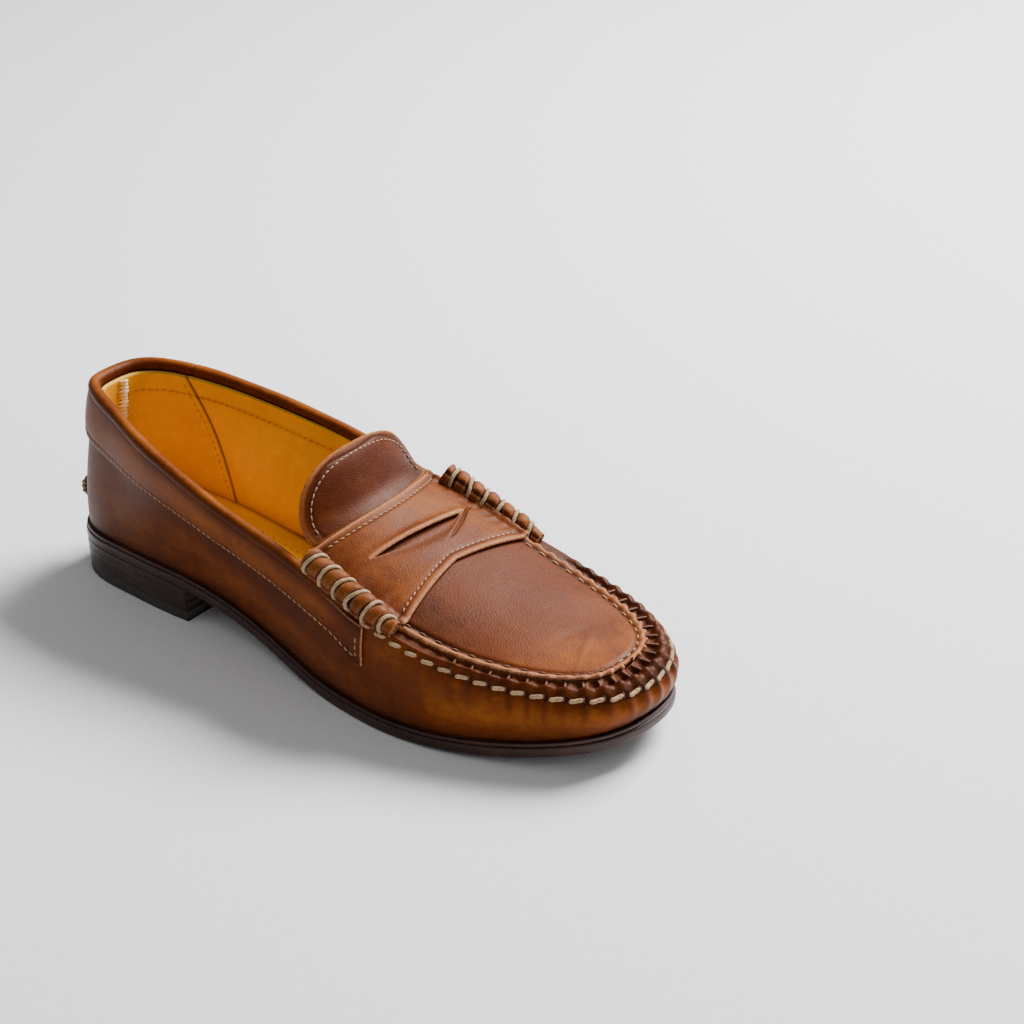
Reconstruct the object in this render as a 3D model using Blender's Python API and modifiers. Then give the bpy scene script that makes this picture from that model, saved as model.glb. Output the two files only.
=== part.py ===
"""Penny loafer, right shoe: a hand-sewn moccasin upper on a leather sole with a stacked heel.

The shoe is modelled around one shape, the last. The last has three surfaces:
  edge(u)      the outline of the sole, u from -1 (toe, round the medial side) over 0 (heel) to 1 (toe)
  wall(u,v,d)  the side of the upper, v from 0 (feather line) to 1 (top edge), d metres inwards
  top(q,y,d)   the instep, q from -1 (medial lip) to 1 (lateral lip), d metres upwards
Every layer of leather is a loft between two of those surfaces, so neighbours keep their gap.
Row frame: +Y to the toe, +X to the outer (lateral) side, +Z up, origin under the middle of the box.
"""
import bpy
import bmesh
import math
import numpy as np
from mathutils import Matrix

# ---------------------------------------------------------------- driving dimensions
LENGTH = 0.290                      # length the outline fractions are measured in
MM = 0.001
GAP = 0.3 * MM                      # clearance between neighbouring solids

# sole outline, fractions of LENGTH, heel first, lateral side to the toe and back on the medial side
OUTLINE = [(0.002, 0.013), (0.056, 0.024), (0.086, 0.060), (0.101, 0.130), (0.110, 0.220), (0.112, 0.320),
           (0.121, 0.420), (0.145, 0.520), (0.168, 0.620), (0.175, 0.700), (0.163, 0.800), (0.130, 0.900),
           (0.076, 0.977), (0.000, 1.000), (-0.074, 0.981), (-0.130, 0.920), (-0.160, 0.825),
           (-0.166, 0.730), (-0.150, 0.630), (-0.115, 0.520), (-0.093, 0.420), (-0.087, 0.320),
           (-0.093, 0.220), (-0.100, 0.130), (-0.088, 0.060), (-0.054, 0.024)]

# profiles along the shoe, in mm, at these fractions of LENGTH
STATIONS = [0.0, 0.06, 0.16, 0.28, 0.39, 0.50, 0.63, 0.78, 0.90, 1.0]
TOP_HEIGHT_LAT = [87.0, 86.5, 83.0, 75.0, 67.0, 60.0, 48.5, 38.0, 34.2, 33.5]
TOP_HEIGHT_MED = [87.0, 86.5, 84.0, 77.0, 70.5, 64.0, 52.0, 40.0, 34.8, 33.5]
TOP_INSET_LAT = [8.0, 7.5, 1.0, -6.0, -8.5, -4.5, 1.5, 3.5, 4.0, 4.5]
TOP_INSET_MED = [8.0, 7.0, 0.0, -11.0, -14.0, -8.0, 1.0, 3.0, 3.0, 4.5]
BULGE_LOW = [1.5, 1.5, 2.0, 2.0, 2.0, 2.0, 2.5, 3.0, 3.5, 4.0]
BULGE_HIGH = [1.5, 1.5, 1.0, 0.5, 0.5, 1.0, 3.0, 4.0, 5.0, 5.5]
LEDGE_LAT = [4.5, 4.5, 4.5, 4.5, 4.5, 4.5, 4.5, 4.8, 6.0, 8.5]
LEDGE_MED = [5.0, 5.0, 5.0, 5.0, 5.0, 5.0, 6.0, 8.0, 8.5, 8.5]
LEDGE_RISE = 0.4                    # the lip stands this much above the wall's top edge
CREST_AT = [0.38, 0.44, 0.50, 0.56, 0.63, 0.70, 0.78, 0.86, 0.93, 0.965]
CREST_HEIGHT = [85.0, 79.5, 73.0, 66.0, 58.0, 51.5, 44.8, 39.2, 35.8, 34.8]
SPINE_BACK = 27.0 * MM              # how far the plug's centre line stops behind the toe seam
SPINE_CREEP = 8.0 * MM              # keeps that line running forward to its end, so the plug has no fold

# bottom unit
OUTSOLE_T = 4.2 * MM
MIDSOLE_T = 1.6 * MM
SOLE_T = OUTSOLE_T + GAP + MIDSOLE_T
FEATHER_IN = 1.8 * MM               # upper stands this far inside the sole edge
HEEL_DROP = 16.0 * MM
HEEL_LEVEL = (0.22, 0.58)           # the shank falls between these fractions
TOE_SPRING = 12.5 * MM
SPRING_FROM = 0.66
HEEL_BREAST = 0.270 * LENGTH
TOP_PIECE_T = 4.4 * MM
LIFT_COUNT = 3
NAIL_R = 1.0 * MM
NAIL_SPOTS = [(0.000, 0.050), (0.060, 0.110), (-0.058, 0.110), (0.066, 0.200), (-0.060, 0.200)]

# upper
LEATHER_T = 1.6 * MM
FLANGE_T = 1.4 * MM
MARGIN = 11.0 * MM                  # lasting margin turned under the insole
BAND_T = 1.2 * MM
LINING_T = 0.9 * MM
LINING_GAP = 0.55 * MM              # wider than GAP, because the waist's facets are twisted
COUNTER_T = 1.2 * MM
ROLL_R = 4.6 * MM                   # beef roll
WRAP_THREAD_R = 0.7 * MM
BIND_R = 2.2 * MM
STRAP_T = 1.7 * MM
PLUG_T = 1.6 * MM


# ---------------------------------------------------------------- the last
def cubic(keys, values, x, closed=False):
    """Cubic spline through the values at the keys, natural at its ends or closed on itself."""
    k = np.asarray(keys, float)
    v = np.asarray(values, float)
    n = len(k)
    h = np.diff(k)
    slope = (np.diff(v, axis=0).T / h).T
    system = np.zeros((n, n))
    right = np.zeros(v.shape)
    for i in range(1, n - 1):
        system[i, i - 1:i + 2] = h[i - 1], 2 * (h[i - 1] + h[i]), h[i]
        right[i] = 6 * (slope[i] - slope[i - 1])
    if closed:
        system[0, [0, 1, n - 2]] = 2 * (h[0] + h[-1]), h[0], h[-1]
        right[0] = 6 * (slope[0] - slope[-1])
        system[-1, [0, n - 1]] = 1, -1
    else:
        system[0, 0] = system[-1, -1] = 1
    m = np.linalg.solve(system, right)
    x = np.asarray(x, float)
    i = np.clip(np.searchsorted(k, x, side="right") - 1, 0, n - 2)
    t = x - k[i]
    hi = h[i]
    if v.ndim > 1:
        t = t[..., None]
        hi = hi[..., None]
    first = slope[i] - hi * (2 * m[i] + m[i + 1]) / 6
    return v[i] + first * t + m[i] / 2 * t**2 + (m[i + 1] - m[i]) / (6 * hi) * t**3


def outline_table(count=4000):
    """Dense outline: the parameter u, the points and the outward normals."""
    points = np.array(OUTLINE + [OUTLINE[0]]) * LENGTH
    chord = np.r_[0, np.cumsum(np.linalg.norm(np.diff(points, axis=0), axis=1))]
    dense = cubic(chord, points, np.linspace(0, chord[-1], count), closed=True)[:-1]
    dense = np.roll(dense, -np.argmin(dense[:, 1]), axis=0)
    toe = np.argmax(dense[:, 1])
    dense = np.vstack([dense, dense[:1]])
    arc = np.r_[0, np.cumsum(np.linalg.norm(np.diff(dense, axis=0), axis=1))]
    lateral = np.arange(len(arc)) <= toe
    u = np.where(lateral, arc / arc[toe], (arc - arc[-1]) / (arc[-1] - arc[toe]))
    tangent = np.gradient(dense, arc, axis=0)
    tangent[0] = tangent[-1] = tangent[1] + tangent[-2]
    tangent /= np.linalg.norm(tangent, axis=1)[:, None]
    normal = np.stack([tangent[:, 1], -tangent[:, 0]], 1)
    order = np.r_[np.arange(toe + 1, len(arc)), np.arange(0, toe + 1)]
    u = np.r_[-1.0, u[order]]
    return u, np.vstack([dense[toe], dense[order]]), np.vstack([normal[toe], normal[order]])


TABLE_U, TABLE_P, TABLE_N = outline_table()


def edge(u):
    u = np.asarray(u, float)
    point = np.stack([np.interp(u, TABLE_U, TABLE_P[:, i]) for i in (0, 1)], -1)
    normal = np.stack([np.interp(u, TABLE_U, TABLE_N[:, i]) for i in (0, 1)], -1)
    return point, normal / np.linalg.norm(normal, axis=-1)[..., None]


def ramp(a, b, x):
    t = np.clip((x - a) / (b - a), 0, 1)
    return t * t * (3 - 2 * t)


def sole_bottom(y):
    """Height of the outsole's underside: heel seat, shank, tread and toe spring."""
    f = np.asarray(y) / LENGTH
    spring = np.clip((f - SPRING_FROM) / (1 - SPRING_FROM), 0, None) ** 2
    return HEEL_DROP * (1 - ramp(*HEEL_LEVEL, f)) + TOE_SPRING * spring


def by_side(u, lateral, medial):
    f = edge(u)[0][..., 1] / LENGTH
    return np.where(np.asarray(u) >= 0, cubic(STATIONS, lateral, f), cubic(STATIONS, medial, f)) * MM


def wall(u, v, d=0.0):
    u, v, d = np.broadcast_arrays(np.asarray(u, float), np.asarray(v, float), np.asarray(d, float))
    point, normal = edge(u)
    low = sole_bottom(point[..., 1]) + SOLE_T + GAP
    high = by_side(u, TOP_HEIGHT_LAT, TOP_HEIGHT_MED)
    inset = by_side(u, TOP_INSET_LAT, TOP_INSET_MED)
    h = high - low
    knots = [np.stack([-FEATHER_IN + 0 * h, low], -1),
             np.stack([-FEATHER_IN + by_side(u, BULGE_LOW, BULGE_LOW), low + 0.36 * h], -1),
             np.stack([-inset + by_side(u, BULGE_HIGH, BULGE_HIGH), high - 0.30 * h], -1),
             np.stack([-inset, high], -1)]
    v = v[..., None]
    w = ((1 - v)**3 * knots[0] + 3 * v * (1 - v)**2 * knots[1]
         + 3 * v**2 * (1 - v) * knots[2] + v**3 * knots[3])
    t = ((1 - v)**2 * (knots[1] - knots[0]) + 2 * v * (1 - v) * (knots[2] - knots[1])
         + v**2 * (knots[3] - knots[2]))
    t = t / np.linalg.norm(t, axis=-1)[..., None]
    w = w + np.stack([-t[..., 1], t[..., 0]], -1) * d[..., None]
    return np.concatenate([point + normal * w[..., :1], w[..., 1:]], -1)


def wall_height(u):
    return wall(u, 1.0)[..., 2] - wall(u, 0.0)[..., 2]


def lip(u):
    """Inner edge of the ledge, where the plug is sewn to the wrap."""
    normal = edge(u)[1]
    rim = wall(u, 1.0)
    width = by_side(u, LEDGE_LAT, LEDGE_MED)[..., None]
    return np.concatenate([rim[..., :2] - normal * width, rim[..., 2:] + LEDGE_RISE * MM], -1)


LIP_U = np.linspace(0.25, 1, 1500)
LIP_LAT, LIP_MED = lip(LIP_U), lip(-LIP_U)


def crest(y):
    return cubic(CREST_AT, CREST_HEIGHT, np.asarray(y) / LENGTH) * MM


def top(q, y, d=0.0):
    q, y = np.broadcast_arrays(np.asarray(q, float), np.asarray(y, float))
    xl, zl = (np.interp(y, LIP_LAT[:, 1], LIP_LAT[:, i]) for i in (0, 2))
    xm, zm = (np.interp(y, LIP_MED[:, 1], LIP_MED[:, i]) for i in (0, 2))
    x = (xl + xm) / 2 + q * (xl - xm) / 2
    rim = np.where(q >= 0, zl, zm)
    return np.stack([x, y, rim * q * q + crest(y) * (1 - q * q) + d], -1)


def plug_surface(u, w):
    """The plug in rings: u from the strap to the toe, w from -1 (medial lip) to 1 (lateral lip)."""
    u, w = np.broadcast_arrays(np.asarray(u, float), np.asarray(w, float))
    a, b = lip(u), lip(-u)
    rim = np.where((w >= 0)[..., None], a, b)
    q = np.abs(w)
    spine_y = (a[..., 1] + b[..., 1]) / 2 - SPINE_BACK * ramp(0.70, 1.0, u)
    spine_y = spine_y + SPINE_CREEP * np.maximum(0, u - 0.88)
    spine_x = (a[..., 0] + b[..., 0]) / 2
    z = rim[..., 2] + (crest(spine_y) - rim[..., 2]) * (1 - q * q)
    return np.stack([rim[..., 0] * q + spine_x * (1 - q), rim[..., 1] * q + spine_y * (1 - q), z], -1)


def u_at(y, side):
    """The parameter u of the outline at this y, side 1 lateral or -1 medial."""
    u = np.linspace(0, 1, 2000) * side
    return np.interp(y, edge(u)[0][:, 1], u)


# ---------------------------------------------------------------- scene and builders
def clear_scene():
    for obj in list(bpy.data.objects):
        bpy.data.objects.remove(obj, do_unlink=True)


clear_scene()
PARTS = bpy.data.collections.new("penny_loafer")
CUTTERS = bpy.data.collections.new("cutters")
bpy.context.scene.collection.children.link(PARTS)
bpy.context.scene.collection.children.link(CUTTERS)

COLOURS = {
    "leather": ((0.26, 0.085, 0.022), 0.42), "strap": ((0.29, 0.10, 0.028), 0.42),
    "edge": ((0.075, 0.018, 0.010), 0.45), "heel": ((0.065, 0.022, 0.012), 0.5),
    "rubber": ((0.02, 0.02, 0.018), 0.7), "lining": ((0.72, 0.30, 0.01), 0.6),
    "thread": ((0.60, 0.42, 0.24), 0.7), "board": ((0.45, 0.30, 0.18), 0.8),
    "cork": ((0.40, 0.25, 0.12), 0.9), "steel": ((0.55, 0.55, 0.56), 0.35),
    "brass": ((0.60, 0.42, 0.14), 0.35),
}
METALS = ("steel", "brass")


def finish(obj, colour, collection=PARTS):
    """File the object in its collection and give it a material of its own."""
    for other in list(obj.users_collection):
        other.objects.unlink(obj)
    collection.objects.link(obj)
    rgb, rough = COLOURS[colour]
    material = bpy.data.materials.new(obj.name + "_" + colour)
    material.use_nodes = True
    shader = material.node_tree.nodes["Principled BSDF"]
    shader.inputs["Base Color"].default_value = (*rgb, 1.0)
    shader.inputs["Roughness"].default_value = rough
    shader.inputs["Metallic"].default_value = 1.0 if colour in METALS else 0.0
    obj.data.materials.clear()
    obj.data.materials.append(material)
    return obj


def mesh_object(name, points, faces):
    mesh = bpy.data.meshes.new(name)
    mesh.from_pydata([tuple(p) for p in points], [], faces)
    bm = bmesh.new()
    bm.from_mesh(mesh)
    bmesh.ops.remove_doubles(bm, verts=bm.verts, dist=1e-6)
    bmesh.ops.recalc_face_normals(bm, faces=bm.faces)
    bm.to_mesh(mesh)
    bm.free()
    mesh.shade_smooth()
    mesh.set_sharp_from_angle(angle=math.radians(40))
    return bpy.data.objects.new(name, mesh)


def loft(name, colour, sections, closed=False, collection=PARTS):
    """Closed solid through a row of ring sections, shape (sections, points, 3)."""
    sections = np.asarray(sections)
    rows, ring, _ = sections.shape
    faces = []
    for i in range(rows if closed else rows - 1):
        j = (i + 1) % rows
        for k in range(ring):
            m = (k + 1) % ring
            faces.append((i * ring + k, j * ring + k, j * ring + m, i * ring + m))
    if not closed:
        faces.append(tuple(range(ring)))
        faces.append(tuple((rows - 1) * ring + k for k in reversed(range(ring))))
    return finish(mesh_object(name, sections.reshape(-1, 3), faces), colour, collection)


def panel(name, colour, grid, thickness):
    """A sheet of leather: an open grid of points with a Solidify modifier, growing downwards."""
    rows, cols, _ = grid.shape
    faces = []
    for i in range(rows - 1):
        for k in range(cols - 1):
            a = i * cols + k
            faces.append((a, a + cols, a + cols + 1, a + 1))
    obj = mesh_object(name, grid.reshape(-1, 3), faces)
    if np.mean([p.normal.z for p in obj.data.polygons]) < 0:
        obj.data.flip_normals()
    finish(obj, colour)
    solid = obj.modifiers.new("thickness", "SOLIDIFY")
    solid.thickness = thickness
    solid.offset = -1
    solid.use_even_offset = True
    return obj


def tube(name, colour, points, radius, sides=1, collection=PARTS):
    """Round bar along a list of points, turned into a mesh with welded caps."""
    curve = bpy.data.curves.new(name, "CURVE")
    curve.dimensions = "3D"
    curve.bevel_depth = radius
    curve.bevel_resolution = sides
    curve.use_fill_caps = True
    spline = curve.splines.new("POLY")
    spline.points.add(len(points) - 1)
    for spot, p in zip(spline.points, points):
        spot.co = (*p, 1.0)
    source = bpy.data.objects.new(name + "_curve", curve)
    bpy.context.scene.collection.objects.link(source)
    graph = bpy.context.evaluated_depsgraph_get()
    mesh = bpy.data.meshes.new_from_object(source.evaluated_get(graph))
    bpy.data.objects.remove(source)
    bm = bmesh.new()
    bm.from_mesh(mesh)
    bmesh.ops.remove_doubles(bm, verts=bm.verts, dist=1e-6)
    bmesh.ops.recalc_face_normals(bm, faces=bm.faces)
    bm.to_mesh(mesh)
    bm.free()
    mesh.shade_smooth()
    mesh.name = name
    return finish(bpy.data.objects.new(name, mesh), colour, collection)


def as_cutter(obj):
    obj.hide_render = True
    obj.display_type = "WIRE"
    return obj


def cut(obj, cutter):
    knife = obj.modifiers.new("cut_" + cutter.name, "BOOLEAN")
    knife.operation = "DIFFERENCE"
    knife.solver = "EXACT"
    knife.object = cutter


def inset_half(inset, side, count=600):
    """One half of the outline moved inwards, as a table of y and x."""
    point, normal = edge(np.linspace(0, 1, count) * side)
    moved = point - normal * inset
    keep = np.r_[True, np.diff(np.maximum.accumulate(moved[:, 1])) > 0]
    return moved[keep]


def plate(name, colour, inset, low, high, y_from=None, y_to=None, rows=30, width=None):
    """Flat layer of the bottom unit between two heights, each a function of y."""
    lateral, medial = inset_half(inset, 1), inset_half(inset, -1)
    start = max(lateral[0, 1], medial[0, 1]) + 0.25 * MM if y_from is None else y_from
    stop = min(lateral[-1, 1], medial[-1, 1]) - 0.25 * MM if y_to is None else y_to
    turn = np.linspace(0, 1, rows)
    first = 0.0 if y_from is None else 0.5
    last = 1.0 if y_to is None else 0.5
    wave = -np.cos(math.pi * (first + (last - first) * turn))
    even = turn if first == last else (wave - wave[0]) / (wave[-1] - wave[0])
    y = start + (stop - start) * (0.6 * even + 0.4 * turn)      # rows closer together at the round ends
    xl = np.interp(y, lateral[:, 1], lateral[:, 0])
    xm = np.interp(y, medial[:, 1], medial[:, 0])
    if width is not None:
        middle = (xl + xm) / 2
        xl, xm = middle + width / 2, middle - width / 2
    sections = np.stack([np.stack([xl, y, high(y)], -1), np.stack([xm, y, high(y)], -1),
                         np.stack([xm, y, low(y)], -1), np.stack([xl, y, low(y)], -1)], 1)
    return loft(name, colour, sections)


def over(height):
    """Height function that keeps a distance above the outsole's underside."""
    return lambda y: sole_bottom(y) + height


def level(height):
    return lambda y: np.full_like(y, height)


# ---------------------------------------------------------------- bottom unit
def build_sole():
    plate("outsole", "edge", 0.0, over(0.0), over(OUTSOLE_T), rows=40)
    plate("midsole", "edge", 0.5 * MM, over(OUTSOLE_T + GAP), over(SOLE_T), rows=40)
    flange_top = SOLE_T + GAP + FLANGE_T
    inner = FEATHER_IN + MARGIN + 1.0 * MM
    plate("cork_filler", "cork", inner, over(SOLE_T + GAP), over(flange_top),
          y_from=0.52 * LENGTH, rows=16)
    plate("shank", "steel", inner, over(SOLE_T + GAP), over(flange_top - 0.2 * MM),
          y_from=0.14 * LENGTH, y_to=0.51 * LENGTH, rows=14, width=13 * MM)
    insole_low = flange_top + GAP
    insole_high = insole_low + 2.0 * MM
    plate("insole", "board", FEATHER_IN + 5.4 * MM, over(insole_low), over(insole_high), rows=30)
    plate("sock_liner", "lining", FEATHER_IN + 6.0 * MM, over(insole_high + GAP),
          over(insole_high + GAP + 1.0 * MM), rows=30)


def build_heel():
    """Top piece and lifts: the highest lift follows the outsole's underside."""
    pieces = [plate("heel_top_piece", "rubber", 0.8 * MM, level(0.0), level(TOP_PIECE_T),
                    y_to=HEEL_BREAST, rows=16)]
    pitch = (HEEL_DROP - TOP_PIECE_T) / LIFT_COUNT
    for i in range(LIFT_COUNT):
        low = TOP_PIECE_T + i * pitch + GAP
        last = i == LIFT_COUNT - 1
        high = over(-GAP) if last else level(low + pitch - GAP)
        inset = (0.7 - 0.2 * i) * MM
        pieces.append(plate("heel_lift_%d" % (i + 1), "heel", inset, level(low), high,
                            y_to=HEEL_BREAST, rows=16))
    head_low = 1.4 * MM
    for i, (fx, fy) in enumerate(NAIL_SPOTS):
        spot = (fx * LENGTH, fy * LENGTH)
        nail = pin("heel_nail_%d" % (i + 1), spot, NAIL_R, head_low, HEEL_DROP - 1.8 * MM)
        finish(nail, "brass")
        hole = pin("nail_hole_%d" % (i + 1), spot, NAIL_R + 0.25 * MM, -1.0 * MM, HEEL_DROP - 1.5 * MM)
        finish(as_cutter(hole), "steel", CUTTERS)
        for piece in pieces:
            cut(piece, hole)


def pin(name, spot, radius, low, high):
    bpy.ops.mesh.primitive_cylinder_add(vertices=10, radius=radius, depth=high - low,
                                        location=(*spot, (low + high) / 2))
    obj = bpy.context.object
    obj.name = name
    obj.data.shade_smooth()
    obj.data.set_sharp_from_angle(angle=math.radians(40))
    return obj


# ---------------------------------------------------------------- upper
REAR_END = 0.565                    # |u| where the quarters hand over to the apron seam
SEAM_FROM = 0.60
WALL_ROWS = np.array([0.0, 0.10, 0.24, 0.40, 0.56, 0.72, 0.86, 1.0])
HALF_STEPS = 31
TURN = np.arange(-HALF_STEPS, HALF_STEPS + 1) / HALF_STEPS
WALL_U = TURN - 0.45 * np.sin(2 * math.pi * TURN) / (2 * math.pi)    # closer together at heel and toe


def stations(low, high):
    """The wall's own stations between two limits, and the limits, so that all layers share facets."""
    inner = WALL_U[(WALL_U > low + 0.008) & (WALL_U < high - 0.008)]
    return np.r_[low, inner, high]


def cap_drop(u):
    """Share of the wall taken off at its top where the binding sits."""
    rear = 1 - ramp(REAR_END, SEAM_FROM, np.abs(u))
    return rear * (2 * BIND_R + GAP) / wall_height(u)


def on_midsole(points):
    """The same points, set down on the top of the midsole."""
    return np.concatenate([points[:, :2], (sole_bottom(points[:, 1]) + SOLE_T + GAP)[:, None]], -1)


def build_wrap(cutters):
    """One piece of leather round the whole foot, turned under the insole and over at the apron seam."""
    u = WALL_U[:-1]
    fore = ramp(REAR_END, SEAM_FROM, np.abs(u))[:, None]
    v = WALL_ROWS[None, :] * (1 - cap_drop(u))[:, None]
    outer = wall(u[:, None], v)
    inner = wall(u[:, None], v, LEATHER_T)
    normal = np.concatenate([edge(u)[1], 0 * u[:, None]], -1)
    up = np.array([0, 0, 1.0])
    rim, back = outer[:, -1], inner[:, -1]
    inward = by_side(u, LEDGE_LAT, LEDGE_MED)[:, None] - 0.4 * MM
    ledge_top = rim - normal * (inward * fore + LEATHER_T * (1 - fore)) + up * LEDGE_RISE * MM * fore
    ledge_low = ledge_top - up * (LEATHER_T * fore + 0.4 * MM * (1 - fore))
    corner = rim - normal * LEATHER_T - up * (LEATHER_T * fore + 0.8 * MM * (1 - fore))
    foot = on_midsole(outer[:, 0])
    flange = on_midsole(outer[:, 0] - normal * MARGIN)
    tops = on_midsole(outer[:, 0] - normal * LEATHER_T) + up * FLANGE_T
    sections = [foot] + [outer[:, i] for i in range(1, outer.shape[1])] + [ledge_top, ledge_low, corner]
    sections += [inner[:, i] for i in range(inner.shape[1] - 2, 0, -1)]
    sections += [tops, flange + up * FLANGE_T, flange]
    wrap = loft("moccasin_wrap", "leather", np.stack(sections, 1), closed=True)
    for cutter in cutters:
        cut(wrap, cutter)


def wall_layer(name, colour, u_low, u_high, rows, d_out, d_in, cutters=()):
    """A layer on the wall. u_low and u_high give its ends at each row, rows are shares of the height."""
    rows = np.asarray(rows, float)
    low = np.array([u_low(v) for v in rows])
    high = np.array([u_high(v) for v in rows])
    columns = stations(low.min(), high.max())[:, None]
    u = np.clip(columns, low, high)
    v = rows[None, :] * (1 - cap_drop(u))
    outer = wall(u, v, d_out(u) if callable(d_out) else d_out)
    inner = wall(u, v, d_in(u) if callable(d_in) else d_in)
    layer = loft(name, colour, np.concatenate([outer, inner[:, ::-1]], 1))
    for cutter in cutters:
        cut(layer, cutter)
    return layer


COUNTER_END = 0.30
LINING_END = WALL_U[HALF_STEPS + 16]
POCKET_TOP, POCKET_LOW = 0.150, 0.235   # |u| of the slanting heel pocket seam


def lining_depth(u):
    """The linings step inwards to clear the heel counter."""
    over_counter = 1 - ramp(COUNTER_END + 0.01, COUNTER_END + 0.09, np.abs(u))
    return LEATHER_T + LINING_GAP + (COUNTER_T + GAP) * over_counter


def build_linings(cutters):
    wall_layer("heel_counter", "board", lambda v: -COUNTER_END, lambda v: COUNTER_END,
               [0.10, 0.24, 0.40, 0.56, 0.72], LEATHER_T + GAP, LEATHER_T + GAP + COUNTER_T)
    rows = WALL_ROWS[1:]
    slip = 0.0012                       # half the gap of the pocket seam, in u

    def pocket(v):
        return POCKET_LOW + (POCKET_TOP - POCKET_LOW) * v

    def inside(u):
        return lining_depth(u) + LINING_T

    wall_layer("heel_lining", "lining", lambda v: -pocket(v), pocket, rows, lining_depth, inside)
    for side, name in ((1, "lateral"), (-1, "medial")):
        ends = [lambda v: side * (pocket(v) + slip), lambda v: side * LINING_END]
        wall_layer("quarter_lining_" + name, "lining", *ends[::side], rows, lining_depth, inside,
                   cutters=cutters)


BAND_END = WALL_U[HALF_STEPS + 18]
BAND_DEEP, BAND_SHALLOW = 24.5 * MM, 19.0 * MM      # at the heel and at the waist
BAND_TUCK, BAND_DIP = 0.11, 0.04                    # shares its edges come down under the beef roll
BAND_CLEAR = GAP + 0.2 * MM


def build_band(cutters):
    """Collar band: a second strip of leather outside the quarters, deepest at the heel."""
    u = stations(-BAND_END, BAND_END)
    depth = BAND_DEEP + (BAND_SHALLOW - BAND_DEEP) * ramp(0.15, 0.45, np.abs(u))
    front = ramp(REAR_END, SEAM_FROM, np.abs(u))
    upper = 1 - cap_drop(u) - BAND_TUCK * front
    lower = 1 - depth / wall_height(u) - BAND_DIP * front
    share = np.linspace(0, 1, 5)[None, :]
    v = lower[:, None] + (upper - lower)[:, None] * share
    outer = wall(u[:, None], v, -BAND_CLEAR - BAND_T)
    inner = wall(u[:, None], v, -BAND_CLEAR)
    band = loft("collar_band", "leather", np.concatenate([outer, inner[:, ::-1]], 1))
    for cutter in cutters:
        cut(band, cutter)


def build_binding(cutters):
    """Rolled binding along the topline, seated on the edges of the wall's layers."""
    u = stations(-LINING_END, LINING_END)
    axis = wall(u, 1 - BIND_R / wall_height(u), 0.9 * MM)
    bead = tube("topline_binding", "leather", axis, BIND_R - 0.1 * MM, sides=2)
    for cutter in cutters:
        cut(bead, cutter)


BACK_SEAM, STRIP_HALF = 0.018, 0.0105       # |u|: the back seam sits a little to the lateral side
STRIP_T = 1.2 * MM
KNOT_AT, KNOT_SIZE, KNOT_OUT = 0.115, (3.2 * MM, 1.9 * MM, 4.4 * MM), 2.4 * MM


def build_back_seam():
    """Strip over the back seam and the sewn knot at its foot."""
    wall_layer("back_seam_strip", "leather", lambda v: BACK_SEAM - STRIP_HALF, lambda v: BACK_SEAM + STRIP_HALF,
               [0.20, 0.35, 0.50, 0.61], -GAP - 0.1 * MM - STRIP_T, -GAP - 0.1 * MM)
    seat = wall(BACK_SEAM, KNOT_AT)
    out = edge(BACK_SEAM)[1]
    bpy.ops.mesh.primitive_uv_sphere_add(segments=12, ring_count=8, radius=1.0)
    knot = bpy.context.object
    knot.name = "back_seam_knot"
    knot.data.transform(Matrix.Diagonal((*KNOT_SIZE, 1)))
    knot.rotation_euler.z = math.atan2(out[0], -out[1])
    knot.location = (*(seat[:2] + out * KNOT_OUT), seat[2])
    knot.data.shade_smooth()
    finish(knot, "thread")


# ---------------------------------------------------------------- instep
ROLL_SPAN = {1: (0.548, 0.692), -1: (0.553, 0.704)}         # start and end, lateral and medial
ROLL_LIFT = {1: (5.0, 2.5), -1: (6.0, 2.0)}                 # mm above the seam at start and end
ROLL_ON_RIM = 0.65                                          # the rest of the way is on the lip
TURNS = 5                                                   # of thread round a roll
ROLL_ROOM_LONGER, ROLL_CLEAR = 1.2 * MM, 0.4 * MM           # the room cut for a roll, past its thread


def roll_path(side, count=15):
    """Centre line of a beef roll, lying on the seam."""
    start, end = ROLL_SPAN[side]
    y = np.linspace(start, end, count) * LENGTH
    u = u_at(y, side)
    lift = np.linspace(*ROLL_LIFT[side], count) * MM
    return wall(u, 1.0) * ROLL_ON_RIM + lip(u) * (1 - ROLL_ON_RIM) + lift[:, None] * [0, 0, 1]


def roll_frame(path):
    along = np.gradient(path, axis=0)
    along /= np.linalg.norm(along, axis=1)[:, None]
    across = np.cross(along, [0, 0, 1.0])
    across /= np.linalg.norm(across, axis=1)[:, None]
    return across, np.cross(across, along)


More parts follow.
